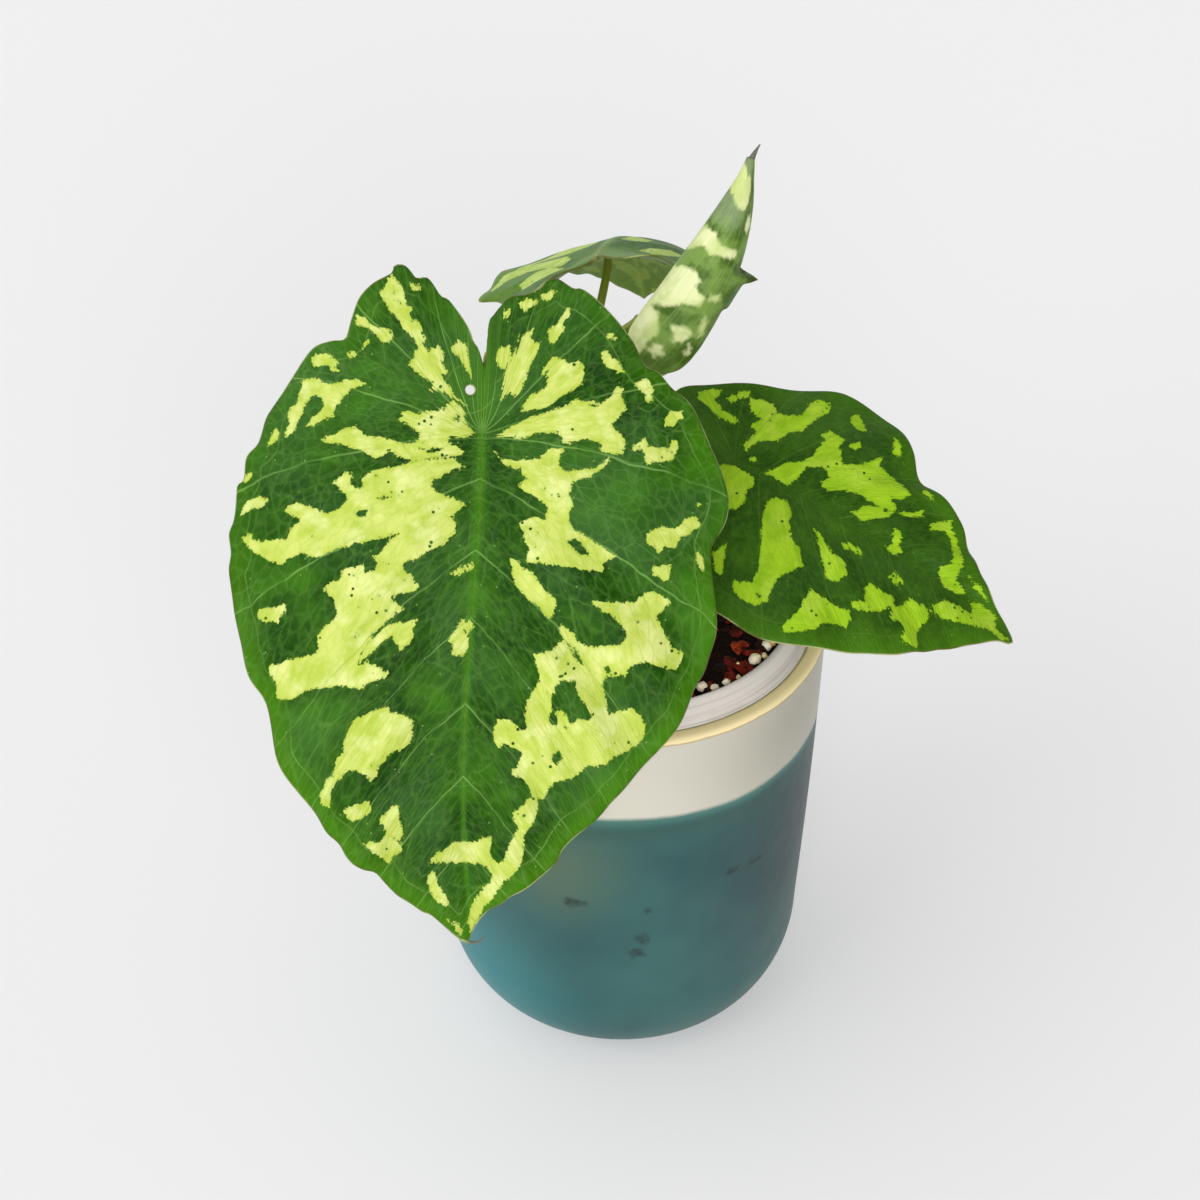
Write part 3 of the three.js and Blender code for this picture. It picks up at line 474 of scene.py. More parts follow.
    [[-47.8, 37.5], [-48, 35.7], [-52.8, 35], [-52, 38.7], [-50.5, 39]],
    [[-60.5, 30], [-62, 33.5], [-62.1, 36.7], [-60.9, 35.3], [-59.8, 33]],
    [[-58, 18], [-59.5, 18.5], [-58.5, 19]],
]

FRONT["green"] = [
    [[33.5, 22.3], [29.7, 22], [30, 23.6], [31.5, 24]],
    [[28, 19], [26, 18.1], [23.5, 18.6], [26, 19.3]],
    [[28.2, 12.6], [27.4, 12.3], [27, 13], [27.8, 13.5]],
    [[16.5, 5.7], [13, 5.5], [10.5, 5.7], [13, 6.8]],
    [[7, -3.7], [6, -3.5], [6.2, -2], [7.2, -2.6]],
    [[24, -33.8], [22, -33.2], [20.8, -32.3], [22.8, -32.8]],
    [[31.8, 56.2], [30, 54.5], [28.9, 55], [30.4, 56.6]],
    [[20.4, 48.7], [19.6, 48.7], [20, 49.3]],
    [[45.5, 67.3], [44.9, 67.3], [45.1, 68]],
    [[2.5, 53.5], [1.2, 52], [0.3, 52.6], [1.5, 54]],
    [[-16.4, -15.2], [-17.6, -15.6], [-17.2, -14.6]],
    [[-28.7, -7], [-30.8, -6.9], [-30, -6.2]],
    [[-16.7, 15.6], [-18, 15.2], [-17.4, 16.1]],
    [[-21, 17], [-22.5, 17.4], [-21.8, 18]],
    [[-24.3, 29.2], [-27, 29], [-30.3, 31.5], [-30, 33], [-27.5, 32.7], [-26, 31.3]],
    [[-25, 55], [-27.2, 56.2], [-29.5, 58.6], [-31.6, 62], [-29.8, 61.5], [-28, 58.8], [-26, 56.6]],
    [[-24.8, 66.4], [-29.4, 66.1], [-30.1, 68.6], [-31.9, 72.1], [-33, 74.6], [-34.8, 74.6],
     [-33.4, 76.4], [-31.2, 76.4], [-28.7, 77], [-27.6, 74.6], [-25.1, 73.9], [-25.5, 77], [-24, 78.2],
     [-22.6, 76.8], [-23.7, 74.3], [-23.7, 70], [-24.1, 67.5]],
    [[-36.7, 62.5], [-38, 62], [-38.5, 63.5], [-37.3, 64.8]],
    [[-24, 86], [-25.5, 85], [-26.7, 86.5], [-25.5, 88.3], [-23.8, 87.5]],
    [[-27, 78], [-28.2, 78], [-27.8, 79]],
    [[-35, 79.3], [-35.9, 79.4], [-35.4, 80.2]],
    [[20.7, 86.5], [19.9, 86.5], [20.4, 87.1]],
]

RIGHT["pale"] = [
    [[-22, -4.5], [-23.7, -0.5], [-23.7, 2], [-21.5, 4.5], [-21.5, 6.7], [-24, 10.5], [-32, 11],
     [-32.7, 15.5], [-30, 16.4], [-24, 14], [-19, 13.4], [-16, 10], [-12, 9], [-10, 4.5], [-4.8, 2.3],
     [-6.4, 1], [-12, 2.2], [-13.7, 0], [-17, 1.7], [-18, -2.2], [-20.3, -4]],
    [[-15, -17], [-17.5, -18.5], [-21, -15.5], [-21.5, -12.5], [-17, -13], [-16, -11], [-14.5, -9.5],
     [-14, -5], [-12.5, -3.8], [-11.3, -5], [-12, -9.5], [-13.5, -12.5]],
    [[-22.5, -8.5], [-24, -5.5], [-22, -5], [-20, -7.5]],
    [[-19, -10.5], [-21, -9], [-20, -7], [-18, -8.5]],
    [[-4.5, 5.5], [-3, 4.3], [-2, 5.5], [-3.2, 6.6]],
    [[-24, 19.5], [-23.7, 24.3], [-20, 24.5], [-15.3, 27.8], [-18.7, 32], [-25, 35.5], [-22, 36.7],
     [-21.4, 41], [-18.7, 47.8], [-15.5, 46.5], [-14.5, 44], [-13, 46.7], [-8.7, 46.2], [-3, 41],
     [-3.7, 37.2], [-7.5, 39], [-10, 42], [-9.8, 35.5], [-8.7, 32], [-5.3, 27.8], [-7, 25], [-9.8, 26.7],
     [-11.4, 23.3], [-8.7, 20], [-4, 19], [-1, 18], [-1, 10.5], [-5.3, 12.8], [-9.8, 17.8], [-14, 19.4],
     [-20, 20], [-21, 18.3]],
    [[-35.3, 22.8], [-34, 25.5], [-30.3, 27.8], [-29.8, 25], [-32, 22.2]],
    [[-33.7, 35], [-32, 38.3], [-28.7, 40], [-27.6, 37.8], [-31, 36.5]],
    [[-25.5, 28], [-24, 29.5], [-21.5, 28.5], [-22, 26.5]],
    [[-18, 53.2], [-16, 54], [-13, 51], [-12.3, 48.3], [-14, 49.5], [-15.5, 51.5]],
    [[-23, 50.5], [-22.5, 53.5], [-21.3, 53.5], [-21.5, 50.5]],
    [[-14, 56.7], [-17, 58.3], [-20, 61], [-18, 62.2], [-16.5, 64.5], [-14.8, 66.7], [-12, 69],
     [-9.8, 70.6], [-5.3, 71], [-3.5, 76], [-1.5, 73.5], [-1, 69.5], [-3, 66.7], [-5.3, 65.6], [-8, 67.8],
     [-11, 66.5], [-14.8, 64], [-15.8, 61], [-13, 57.8]],
    [[-8, 73.5], [-7.5, 78], [-5.8, 82], [-6, 77]],
    [[-2, 77.8], [-3.7, 81], [-3.7, 86.7], [-0.3, 87.3], [0.5, 91], [0.2, 93.3], [3.5, 91], [2.4, 87.8],
     [4, 83.3], [6.3, 80], [8, 76.7], [9, 72.2], [7.4, 70], [3.6, 71.7], [1.9, 76.7], [0.8, 81]],
    [[9.7, 63.3], [9, 70], [12.5, 71], [17, 70.5], [22, 72.8], [23.6, 70], [22.4, 67.8], [19, 66.5],
     [19, 62.3], [15.8, 60.6], [13.6, 63.3]],
    [[13, 52.2], [13.6, 56.7], [12.4, 60], [15.2, 60.8], [19, 59], [22.4, 55.6], [23.6, 52.2], [22, 51],
     [19.7, 54], [15.8, 51.7]],
    [[4.5, 56], [5.8, 58], [6.3, 60], [8.6, 58.3], [8, 55.6]],
    [[-7, 49.5], [-6.5, 52.3], [-3.7, 52.8], [-2, 55], [0.2, 53.5], [-0.3, 49.5], [-2.5, 51.5],
     [-4.5, 50]],
    [[7, 39.5], [5.2, 42.2], [5.8, 45.5], [8.3, 46.3], [6.8, 44.4], [7.2, 42.5], [8.6, 41]],
    [[7.8, 30.5], [9.5, 34.5], [12.4, 39], [12.4, 43.3], [15.8, 45.6], [19, 44.4], [20.3, 41], [17, 39],
     [13.6, 35.5], [10.8, 33.3]],
    [[5.2, 16.7], [4.7, 20], [7, 22.8], [11.3, 24], [15.8, 27.8], [18, 32], [21.3, 34], [26, 31],
     [30, 30], [36, 31], [38.5, 29], [39.7, 24.5], [38.5, 20.6], [36, 20], [33, 24.4], [28, 24],
     [22.4, 21], [15.8, 17.8], [9.7, 16]],
    [[1.5, 2], [2, 8], [4.5, 9.8], [8, 9.3], [13, 10.3], [16.5, 9], [15, 5], [10, 0], [5, -2], [2.5, -1]],
    [[27, 12.5], [31, 14.5], [36, 15.7], [36, 13.5], [31, 10.5]],
    [[26, 39.5], [25.3, 47.8], [24.7, 52.2], [29, 54], [30, 50], [32.4, 47.8], [36, 46.7], [39, 43.3],
     [41.3, 38.3], [36, 40], [30, 39.4]],
]

RIGHT["green"] = [
    [[35.3, 27], [36.2, 28], [35.2, 28.6]],
    [[-11, 44], [-10.3, 45.5], [-9.7, 44.3]],
]

BACK["pale"] = [
    [[-41, 14], [-38, 24], [-30, 22], [-22, 15], [-13, 8], [-11, 2], [-14, 0], [-20, 6], [-28, 13],
     [-36, 16], [-40, 8]],
    [[-29, 2], [-24, 7], [-18, 4], [-13, -3], [-11, -6], [-16, -4], [-22, -3], [-27, -4]],
    [[3, 12], [5, 18], [12, 16], [12, 9], [8, 8]],
    [[12, -4], [14, 1], [20, 6], [25, 4], [22, -3], [17, -6]],
    [[-18, 62], [-14, 64], [-12, 70], [-16, 70]],
    [[3, 78], [6, 78], [6, 84], [2, 84]],
]

# The far half of the back leaf, which the photograph doesn't show, is marbled as the right leaf is.
for patch in RIGHT["pale"]:
    rightmost, nearest = np.max(patch, 0)[0], np.min(patch, 0)[1]
    if rightmost < 42 and nearest > 15:
        BACK["pale"].append([[-0.86 * across, 0.84 * along] for across, along in patch])

BACK["green"] = []

# The side veins: where each leaves the midrib, its slope and its curve.
FRONT["veins"] = [
    [2, 0.05, 0.0025], [13, 0.45, 0.002], [32, 0.72, 0.007], [50, 0.88, 0.01], [73, 0.82, 0.012],
    [93, 0.9, 0.012], [112, 1, 0.012], [132, 1, 0.012],
]

RIGHT["veins"] = [[start * 0.7, slope, curve * 1.4] for start, slope, curve in FRONT["veins"]]
BACK["veins"] = [[start * 0.62, slope, curve * 1.6] for start, slope, curve in FRONT["veins"]]


def blade_surface(leaf, across, along):
    """Where points of the flat blade lie in space. The midrib bends as an arc in the upright plane of its
    heading. Each half turns up from it by its fold and arches over as an arc. Shallow valleys follow the
    side veins, and the midrib sways a little to the right on its way to the tip."""
    length = leaf["right"][-1][1]
    pitch = math.radians(leaf["pitch"])
    bend = np.radians(np.where(along > 0, leaf["bend"], leaf["back"]))
    slope = pitch + bend * along
    run = (np.sin(slope) - math.sin(pitch)) / bend
    rise = (math.cos(pitch) - np.cos(slope)) / bend
    heading = math.radians(leaf["heading"])
    ahead = np.array([math.cos(heading), math.sin(heading), 0])
    side = np.array([ahead[1], -ahead[0], 0])
    up = np.array([0, 0, 1.0])
    lift = -np.sin(slope)[..., None] * ahead + np.cos(slope)[..., None] * up
    roll = np.radians(leaf["roll"] + leaf["twist"] * along)[..., None]
    rightward = side * np.cos(roll) + lift * np.sin(roll)
    upward = lift * np.cos(roll) - side * np.sin(roll)
    fold = np.radians(np.where(across > 0, leaf["fold"][1], leaf["fold"][0]))
    arch = np.radians(np.where(across > 0, leaf["arch"][1], leaf["arch"][0]))
    away = np.abs(across)
    turn = fold - arch * away
    out = (np.sin(fold) - np.sin(turn)) / arch
    climb = (np.cos(turn) - np.cos(fold)) / arch
    share = np.maximum(0, along / length)
    sway = leaf["sway"] * 6.75 * share**2 * (1 - share)
    rib = rib_field(leaf, across, along)[0]
    valley = (1 - np.cos(2 * np.pi * rib)) / 2
    calm = np.minimum(1, away / 15) * np.clip(rib, 0, 1)
    return (
        np.array(leaf["at"])
        + run[..., None] * ahead
        + rise[..., None] * up
        + (np.sign(across) * out + sway)[..., None] * rightward
        + (climb + leaf["quilt"] * valley * calm)[..., None] * upward
    )


def rib_field(leaf, across, along):
    """A number that is whole on every side vein and runs evenly between them, and the width in millimetres
    of one unit of it. Ahead of the stalk a side vein leaves the midrib at its start and runs forward by its
    slope and its curve times the square of the way out. Behind it the veins fan out from the stalk into the
    lobe, one every 27 degrees."""
    away = np.abs(across) + 1e-6
    line = np.array([start + slope * away + curve * away**2 for start, slope, curve in leaf["veins"]])
    rib = (np.arctan2(away, line[0]) - np.arctan2(away, along)) / LOBE_VEIN_STEP
    gap = np.hypot(away, along) * LOBE_VEIN_STEP
    for order, (here, ahead) in enumerate(zip(line, line[1:])):
        inside = along >= here
        rib = np.where(inside, order + (along - here) / (ahead - here), rib)
        gap = np.where(inside, (ahead - here) * VEIN_SLANT, gap)
    return rib, gap


def patch_distance(patches, across, along):
    """Distance in millimetres to the nearest patch's outline, negative inside. A spot is inside an outline
    when a straight line from it to one side crosses that an odd number of times."""
    nearest = np.full(across.shape, 99.0)
    for patch in patches:
        corner = np.array(patch, float)
        run = np.roll(corner, -1, 0) - corner
        reach = np.stack([across, along], -1)[:, None] - corner
        share = np.clip((reach * run).sum(-1) / (run**2).sum(-1), 0, 1)
        gap = np.linalg.norm(reach - share[..., None] * run, axis=-1).min(1)
        crosses = (reach[..., 1] < 0) != (reach[..., 1] < run[:, 1])
        beyond = reach[..., 0] * np.abs(run[:, 1]) < reach[..., 1] * run[:, 0] * np.sign(run[:, 1])
        inside = (crosses & beyond).sum(1) % 2 == 1
        nearest = np.minimum(nearest, np.where(inside, -gap, gap))
    return nearest


def edge_distance(margin, spots):
    """Distance in millimetres from each spot to the nearest point of the margin, part by part of it."""
    parts = np.array_split(margin, 8)
    return np.min([np.linalg.norm(spots[:, None] - part, axis=-1).min(1) for part in parts], 0)


def open_edges(faces):
    """Directed edges of faces that no neighbour shares, in the way their own face runs."""
    edges = np.concatenate([faces[:, [0, 1]], faces[:, [1, 2]], faces[:, [2, 0]]])
    count = faces.max() + 1
    return edges[~np.isin(edges @ [count, 1], edges @ [1, count])]


def two_faced(points, faces, above, below):
    """A sheet made solid: one face raised and one lowered along the normals, and a band round each edge."""
    normals = point_normals(points, faces)
    count = len(points)
    start, end = open_edges(faces).T
    band = [np.stack([end, start, start + count], -1), np.stack([end, start + count, end + count], -1)]
    both = np.vstack([points + normals * above, points - normals * below])
    return both, np.concatenate([faces, faces[:, ::-1] + count, *band])


def cut_hole(flat, faces, hole):
    """Drops the faces that touch a round hole and draws the points round it onto its rim."""
    centre, radius = np.array(hole[:2]), hole[2]
    reach = flat - centre
    gap = np.linalg.norm(reach, axis=1)
    faces = faces[(gap[faces] > radius).all(1)]
    ring = np.unique(open_edges(faces))
    ring = ring[gap[ring] < 2 * radius]
    flat[ring] = centre + reach[ring] * (radius / gap[ring])[:, None]
    return faces


def make_blade(name, leaf, material):
    """An open leaf's blade: rings of its margin drawn in towards the stalk, rippled along the surface's
    normal by a sine that grows with the cube of the ring's share. It thins to its margin by the square root
    of the distance, and the midrib and side veins stand out below as ridges whose height falls with the
    square of the distance."""
    rays, rings = leaf["rays"], leaf["rings"]
    margin = np.vstack([smooth_curve(leaf[half], rays // 2 + 1)[:-1] for half in ("right", "left")])
    share = np.linspace(0, 1, rings + 1)[1:, None]
    flat = np.vstack([[[0, 0]], (margin[None] * share[..., None]).reshape(-1, 2)])
    web = grid_faces(rings, rays, wrap=True, start=1, flip=True)
    faces = np.concatenate([fan_faces(0, 1 + np.arange(rays)), web])
    edge = edge_distance(margin, flat)
    if "hole" in leaf:
        *centre, radius = leaf["hole"]
        faces = cut_hole(flat, faces, leaf["hole"])
        edge = np.minimum(edge, np.abs(np.linalg.norm(flat - centre, axis=1) - radius))
    middle = blade_surface(leaf, *flat.T)
    wave = np.sin(2 * np.pi * leaf["ripples"] * np.arange(rays) / rays)[None] * share**3 * leaf["ripple"]
    middle += point_normals(middle, faces) * np.concatenate([[0], wave.ravel()])[:, None]
    used, faces = np.unique(faces, return_inverse=True)
    faces = faces.reshape(-1, 3)
    (across, along), middle, edge = flat[used].T, middle[used], edge[used]
    rib, gap = rib_field(leaf, across, along)
    pale = patch_distance(leaf["pale"], across, along)
    pale = np.maximum(pale, -patch_distance(leaf["green"], across, along))
    thin = np.sqrt(np.clip(edge / THINNING, 0.04, 1))
    spine_half = np.clip(MIDRIB_HALF - along * 0.011, 0.5, MIDRIB_HALF)
    spine = np.clip(1 - (across / spine_half) ** 2, 0, 1) * np.clip(1 - along / 150, 0.2, 1)
    vein = np.clip(1 - ((rib - np.round(rib)) * gap / VEIN_HALF) ** 2, 0, 1) * np.clip(edge / 12, 0, 1)
    ridge = np.maximum(spine * MIDRIB_RIDGE, vein * VEIN_RIDGE)
    half = BLADE_THICKNESS / 2 * thin
    points, solid = two_faced(middle, faces, half[:, None], (half + ridge)[:, None])
    values = {"across": across, "along": along, "rib": rib, "rib_gap": gap, "pale": pale, "edge": edge}
    values = {label: np.tile(value, 2) for label, value in values.items()}
    under = np.repeat([0.0, 1.0], len(middle))
    piece = mesh_piece(name, points, solid, material, under=under, **values)
    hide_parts(name.replace("leaf", "blade"))


def leaf_material(name, tones, veins, sheen_share):
    """A marbled blade: deep green that brightens along the margin, thin pale veins, ragged pale marbling
    with green specks, a duller underside, and broad clouds of paler grey green over the green that are a
    painted sheen standing in for the blade's gloss. veins says how far the veins show, and the last
    argument how far the painted sheen shows."""
    shader = Shader(name)
    across, along, edge, outline = shader.attributes("across", "along", "edge", "pale")
    rib_here, gap, under = shader.attributes("rib", "rib_gap", "under")
    away = abs(across)
    flat = shader.together(across, along, 0.0)
    bend = (shader.noise(flat, 0.07, 2) - 0.5) * 0.16
    rib = rib_here + bend
    combed = shader.together(rib * 16, away * 0.55, across * 0.02)

    teeth = (shader.noise(combed, 0.6, 3, 0.6) - 0.5) * 2.8 + (shader.noise(flat, 1.5, 1) - 0.5) * 1.3
    speckled = shader.step(shader.noise(flat, 0.1, 1), 0.54, 0.62)
    specks = shader.step(shader.cells(flat, 0.42), 0.24, 0.14) * speckled
    marbled = shader.step(outline + teeth, 0.22, -0.22) * (1 - specks)

    seen = shader.step(shader.noise(flat, 0.05, 2), 0.36, 0.62, 0.3, 1.0)
    rib_line = shader.step(abs(rib - rib.maths("ROUND")) * gap, 0.42, 0.08) * seen
    midrib = shader.step(away, shader.step(along, -5, 125, 3.0, 1.1), 0.1)
    rim_vein = shader.step(abs(edge - 5.5 + bend * 25), 0.34, 0.06) * seen
    branches = shader.step(shader.cells(combed, 0.16, "DISTANCE_TO_EDGE"), 0.03, 0.008) * seen
    quilting = shader.step(shader.cells(combed, 0.5, "DISTANCE_TO_EDGE"), 0.16, 0.0)
    line = rib_line.maths("MAXIMUM", rim_vein * 0.6).maths("MAXIMUM", branches * 0.22)
    streaks = shader.step(shader.noise(combed, 0.32, 4), 0.34, 0.68)
    brim = shader.step(edge, 10, 1.0) * shader.step(along, -20, 90, 0.25, 0.8)
    dots = shader.step(shader.cells(flat, 0.3), 0.09, 0.05) * shader.step(speckled, 0.6, 0.2)

    green = shader.coats(
        tones["dark"],
        (shader.step(shader.noise(flat, 0.04, 3), 0.34, 0.7), tones["fresh"]),
        (shader.step(outline, 6, 0.5) * 0.45, tones["dark"]),
        (streaks * 0.4, tones["dark"]),
        (shader.step(shader.noise(flat, 0.5, 4), 0.4, 0.72) * 0.4, tones["fresh"]),
        # Painted sheen: broad clouds of paler grey green that stand in for the blade's gloss.
        (shader.step(shader.noise(flat, 0.028, 2), 0.42, 0.68) * sheen_share, tones["painted_sheen"]),
        (brim, tones["margin"]),
        (midrib * 0.7, tones["midrib"]),
        ((quilting * 0.07).maths("MAXIMUM", dots * 0.5), tones["vein"]),
        (line * veins, tones["vein"]),
    )
    lime = shader.coats(
        tones["pale"],
        (streaks * 0.7, tones["lime"]),
        (shader.step(shader.noise(flat, 0.11, 3), 0.46, 0.66) * 0.55, tones["cream"]),
        (quilting * 0.22, tones["lime"]),
        (shader.step(outline, -0.9, 0.1) * 0.35, tones["lime"]),
        (line * 0.35, tones["lime"]),
    )
    below = shader.coats(
        tones["under"],
        (marbled, tones["under_pale"]),
        (midrib.maths("MAXIMUM", rib_line) * 0.6, tones["under_pale"]),
    )
    rind = shader.mix(shader.step(shader.noise(flat, 0.08, 1), 0.4, 0.6), (110, 92, 50), (196, 190, 140))
    colour = shader.coats(
        green,
        (marbled, lime),
        (under, below),
        (shader.step(edge, 0.42, 0.15) * 0.6, rind),
    )
    grain = shader.noise(flat, 2.2, 3)
    relief = grain * 0.3 - quilting * 0.25 - line * 0.5 + midrib * 0.5
    roughness = shader.step(grain, 0.2, 0.8, 0.3, 0.46)
    return shader.finish(colour, roughness, relief, bump=0.5, relief=0.0006, Specular_IOR_Level=0.06)


# In each set of tones the sheen colour is a painted sheen that stands in for the blades' gloss.
DEEP_TONES = {
    "dark": (14, 50, 3), "fresh": (56, 108, 10), "painted_sheen": (62, 106, 46),
    "margin": (62, 114, 4), "midrib": (62, 114, 12), "vein": (134, 178, 90),
    "pale": (191, 202, 104), "lime": (155, 178, 48), "cream": (216, 221, 152),
    "under": (98, 124, 58), "under_pale": (196, 208, 134),
}
LIME_TONES = {
    "dark": (28, 62, 7), "fresh": (62, 104, 18), "painted_sheen": (56, 94, 34),
    "margin": (60, 104, 10), "midrib": (46, 84, 14), "vein": (104, 144, 50),
    "pale": (152, 190, 36), "lime": (120, 162, 20), "cream": (168, 196, 64),
    "under": (88, 114, 54), "under_pale": (156, 180, 90),
}
SOFT_TONES = {
    "dark": (44, 88, 20), "fresh": (98, 142, 50), "painted_sheen": (130, 164, 84),
    "margin": (116, 150, 60), "midrib": (130, 160, 84), "vein": (136, 164, 84),
    "pale": (186, 210, 100), "lime": (148, 180, 62), "cream": (200, 218, 138),
    "under": (96, 126, 44), "under_pale": (124, 150, 58),
}

make_blade("leaf_front", FRONT, leaf_material("marbled_leaf", DEEP_TONES, 0.42, 0.4))
make_blade("leaf_right", RIGHT, leaf_material("lime_marbled_leaf", LIME_TONES, 0.2, 0.4))
make_blade("leaf_back", BACK, leaf_material("soft_marbled_leaf", SOFT_TONES, 0.25, 0.15))

# The young rolled leaf

# Its axis runs from foot to head towards bow and ends in the horn. It has a radius at even steps up it.
ROLL_FOOT, ROLL_BOW, ROLL_HEAD, ROLL_HORN = np.array(
    [[4, 13, 212.5], [28, 22, 242.5], [34.2, 31, 269], [36.8, 32.6, 272.4]]
)
ROLL_RADII = [7.2, 9.7, 10, 9.6, 9.1, 8.3, 7.1, 5.7, 4.1, 2.2, 0.8]
ROLL_TIGHTNESS = 0.74  # the inner margin's share of the radius
ROLL_EDGE = 104  # where the outer margin ends, in degrees from the front round towards +X
ROLL_TURNS = (490, 300)  # how far the blade winds round at its foot and at its head
ROLL_LOBE, ROLL_SINUS = 0.3, 0.15  # how far up the lobes' margins and the notch between them start
ROLL_LENGTH, ROLL_GIRTH = 68, 2 * np.pi * 9  # the millimetres that its marbling is drawn in

# The strip along the outer margin that stands off the roll: its share of the blade's width, and rows of how
# far up and by how many millimetres.
FLAP_WIDTH = 0.16
FLAP = np.array([[0, 0], [0.36, 0], [0.375, 2.2], [0.44, 3], [0.48, 3.8], [0.507, 8], [0.52, 0], [1, 0]])

# The pale patches, by how far in from the outer margin and how far up. They are mirrored about ROLL_FOLD.
ROLL_FOLD = 34
ROLL_PALE = [
    [[34, 19], [29, 19], [25.5, 16.5], [22, 16.5], [20, 16], [17.2, 13.5], [17, 9], [16.6, 5], [18, 2],
     [20, 0], [25, -2], [30, -4], [34, -3]],
    [[34, 28], [30, 28.5], [26, 29], [24, 30.5], [19, 31], [17, 29.5], [16.5, 27.5], [13.4, 26],
     [13.6, 24], [16, 22.5], [19.5, 19], [22, 17.5], [25, 15.5], [30, 14], [34, 14]],
    [[34, 44], [30, 44], [26, 43.8], [21, 43.5], [17, 41], [12, 41.5], [10.3, 40.8], [10.5, 39.3],
     [14, 38.8], [19, 38], [22, 38.6], [25, 37], [27, 35], [30, 35], [34, 36]],
    [[34, 66], [24, 65.5], [18, 62.5], [13, 62.5], [12, 59], [11.5, 55], [14, 52.5], [18, 53.5], [22, 55],
     [26, 56], [34, 57]],
    [[10.5, 51.5], [8, 51.5], [6.5, 49], [8, 46.5], [10, 47.5]],
    [[12.5, 28], [10, 28.7], [9.2, 27.5], [10, 26.5], [12, 26.5]],
    [[16, 15.5], [13, 17], [11.5, 16.5], [11.8, 14.5], [13, 12.5], [14, 14.5]],
    [[16, 9.5], [14.3, 10.4], [13.3, 8.5], [14.2, 6.9], [15.7, 7.2]],
    [[11, 22.7], [9, 21], [7.5, 17.5], [8.5, 16.5], [10, 19]],
    [[9.6, 13.5], [8.3, 13], [7.8, 11], [9, 11.5]],
]
ROLL_PALE += [[[2 * ROLL_FOLD - across, along] for across, along in patch] for patch in ROLL_PALE]


def bezier(foot, bow, head, share):
    """A quadratic curve from foot to head that leaves and arrives towards bow."""
    share = share[..., None]
    return (1 - share) ** 2 * foot + 2 * share * (1 - share) * bow + share**2 * head


def roll_surface(height, width):
    """The rolled blade: across its width it winds round the axis as a spiral that tightens inwards from the
    outer margin, and along its height the axis bends as a quadratic curve and the radius follows the table.
    The feet of both lobes and the notch between them are cut by raising where the height starts."""
    from_midrib = np.abs(2 * width - 1)
    start = ROLL_LOBE * from_midrib**4 + ROLL_SINUS * (1 - from_midrib**2) ** 14
    up = start + height * (1 - start)
    axis = bezier(ROLL_FOOT, ROLL_BOW, ROLL_HEAD, up)
    run = (1 - up)[..., None] * (ROLL_BOW - ROLL_FOOT) + up[..., None] * (ROLL_HEAD - ROLL_BOW)
    upward = run / np.linalg.norm(run, axis=-1, keepdims=True)
    front = np.array([0, -1.0, 0]) + upward * upward[..., 1:2]
    front /= np.linalg.norm(front, axis=-1, keepdims=True)
    right = np.cross(upward, front)
    turn = ROLL_TURNS[0] + (ROLL_TURNS[1] - ROLL_TURNS[0]) * up
    angle = np.radians(ROLL_EDGE - (1 - width) * turn)[..., None]
    radius = np.interp(up, np.linspace(0, 1, len(ROLL_RADII)), ROLL_RADII)
    stand = np.maximum(0, 1 - (1 - width) / FLAP_WIDTH) ** 1.5 * np.interp(up, *FLAP.T)
    reach = (radius * (ROLL_TIGHTNESS + (1 - ROLL_TIGHTNESS) * width) + stand)[..., None]
    return axis + reach * (np.cos(angle) * front + np.sin(angle) * right), up


def make_rolled_leaf(material):
    """The rolled blade's surface, given two faces and a rim."""
    rows, columns = 130, 240
    height, width = np.meshgrid(np.linspace(0, 1, rows), np.linspace(0, 1, columns), indexing="ij")
    surface, up = roll_surface(height, width)
    half = BLADE_THICKNESS / 2
    points, solid = two_faced(surface.reshape(-1, 3), grid_faces(rows, columns), half, half)
    inward, climb = 1 - width.ravel(), up.ravel() * ROLL_LENGTH
    pale = patch_distance(ROLL_PALE, inward * ROLL_GIRTH, climb)
    values = {"across": inward * ROLL_GIRTH, "along": climb, "pale": pale, "edge": inward * 60}
    values = {label: np.tile(value, 2) for label, value in values.items()}
    piece = mesh_piece("leaf_rolled", points, solid, material, **values)
    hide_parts("blade_rolled")


def make_horn(material):
    """The thin horn that the rolled leaf's tip draws out to: a quadratic curve that tapers."""
    share = np.linspace(0, 1, 24)
    root = bezier(ROLL_FOOT, ROLL_BOW, ROLL_HEAD, np.array(0.93))
    path = bezier(root, ROLL_HEAD, ROLL_HORN, share)
    piece = tube("leaf_rolled_tip", path, 1.9 + (0.15 - 1.9) * share**0.8, material, sides=16)
    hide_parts("blade_rolled")


def tube(name, path, radii, material, sides=24, ridges=None):
    """A round tube of the given radii along a path, closed at both ends. Its cross directions are carried
    along the path without twist, each step turned off the last one's by what the tangent turned."""
    tangents = np.gradient(path, axis=0)
    tangents /= np.linalg.norm(tangents, axis=1, keepdims=True)
    across = np.cross(tangents[0], [0.0, 1.0, 0.3])
    crosses = []
    for tangent in tangents:
        across = across - tangent * (across @ tangent)
        across /= np.linalg.norm(across)
        crosses.append(across)
    first = np.array(crosses)[:, None]
    second = np.cross(tangents, first[:, 0])[:, None]
    angle = np.linspace(0, 2 * np.pi, sides, endpoint=False)
    swell = 1 + (ridges(angle) if ridges else 0 * angle)
    ring = first * np.cos(angle)[:, None] + second * np.sin(angle)[:, None]
    points = path[:, None] + ring * radii[:, None, None] * swell[:, None]
    points = np.vstack([points.reshape(-1, 3), path[0], path[-1]])
    length = run_length(path)
    along = np.concatenate([np.repeat(length, sides), [0, length[-1]]])
    round_it = np.concatenate([np.tile(angle / (2 * np.pi), len(path)), [0, 0]])
    faces = shell_faces(len(path), sides)
    return mesh_piece(name, points, faces, material, length_along=along, round_it=round_it)


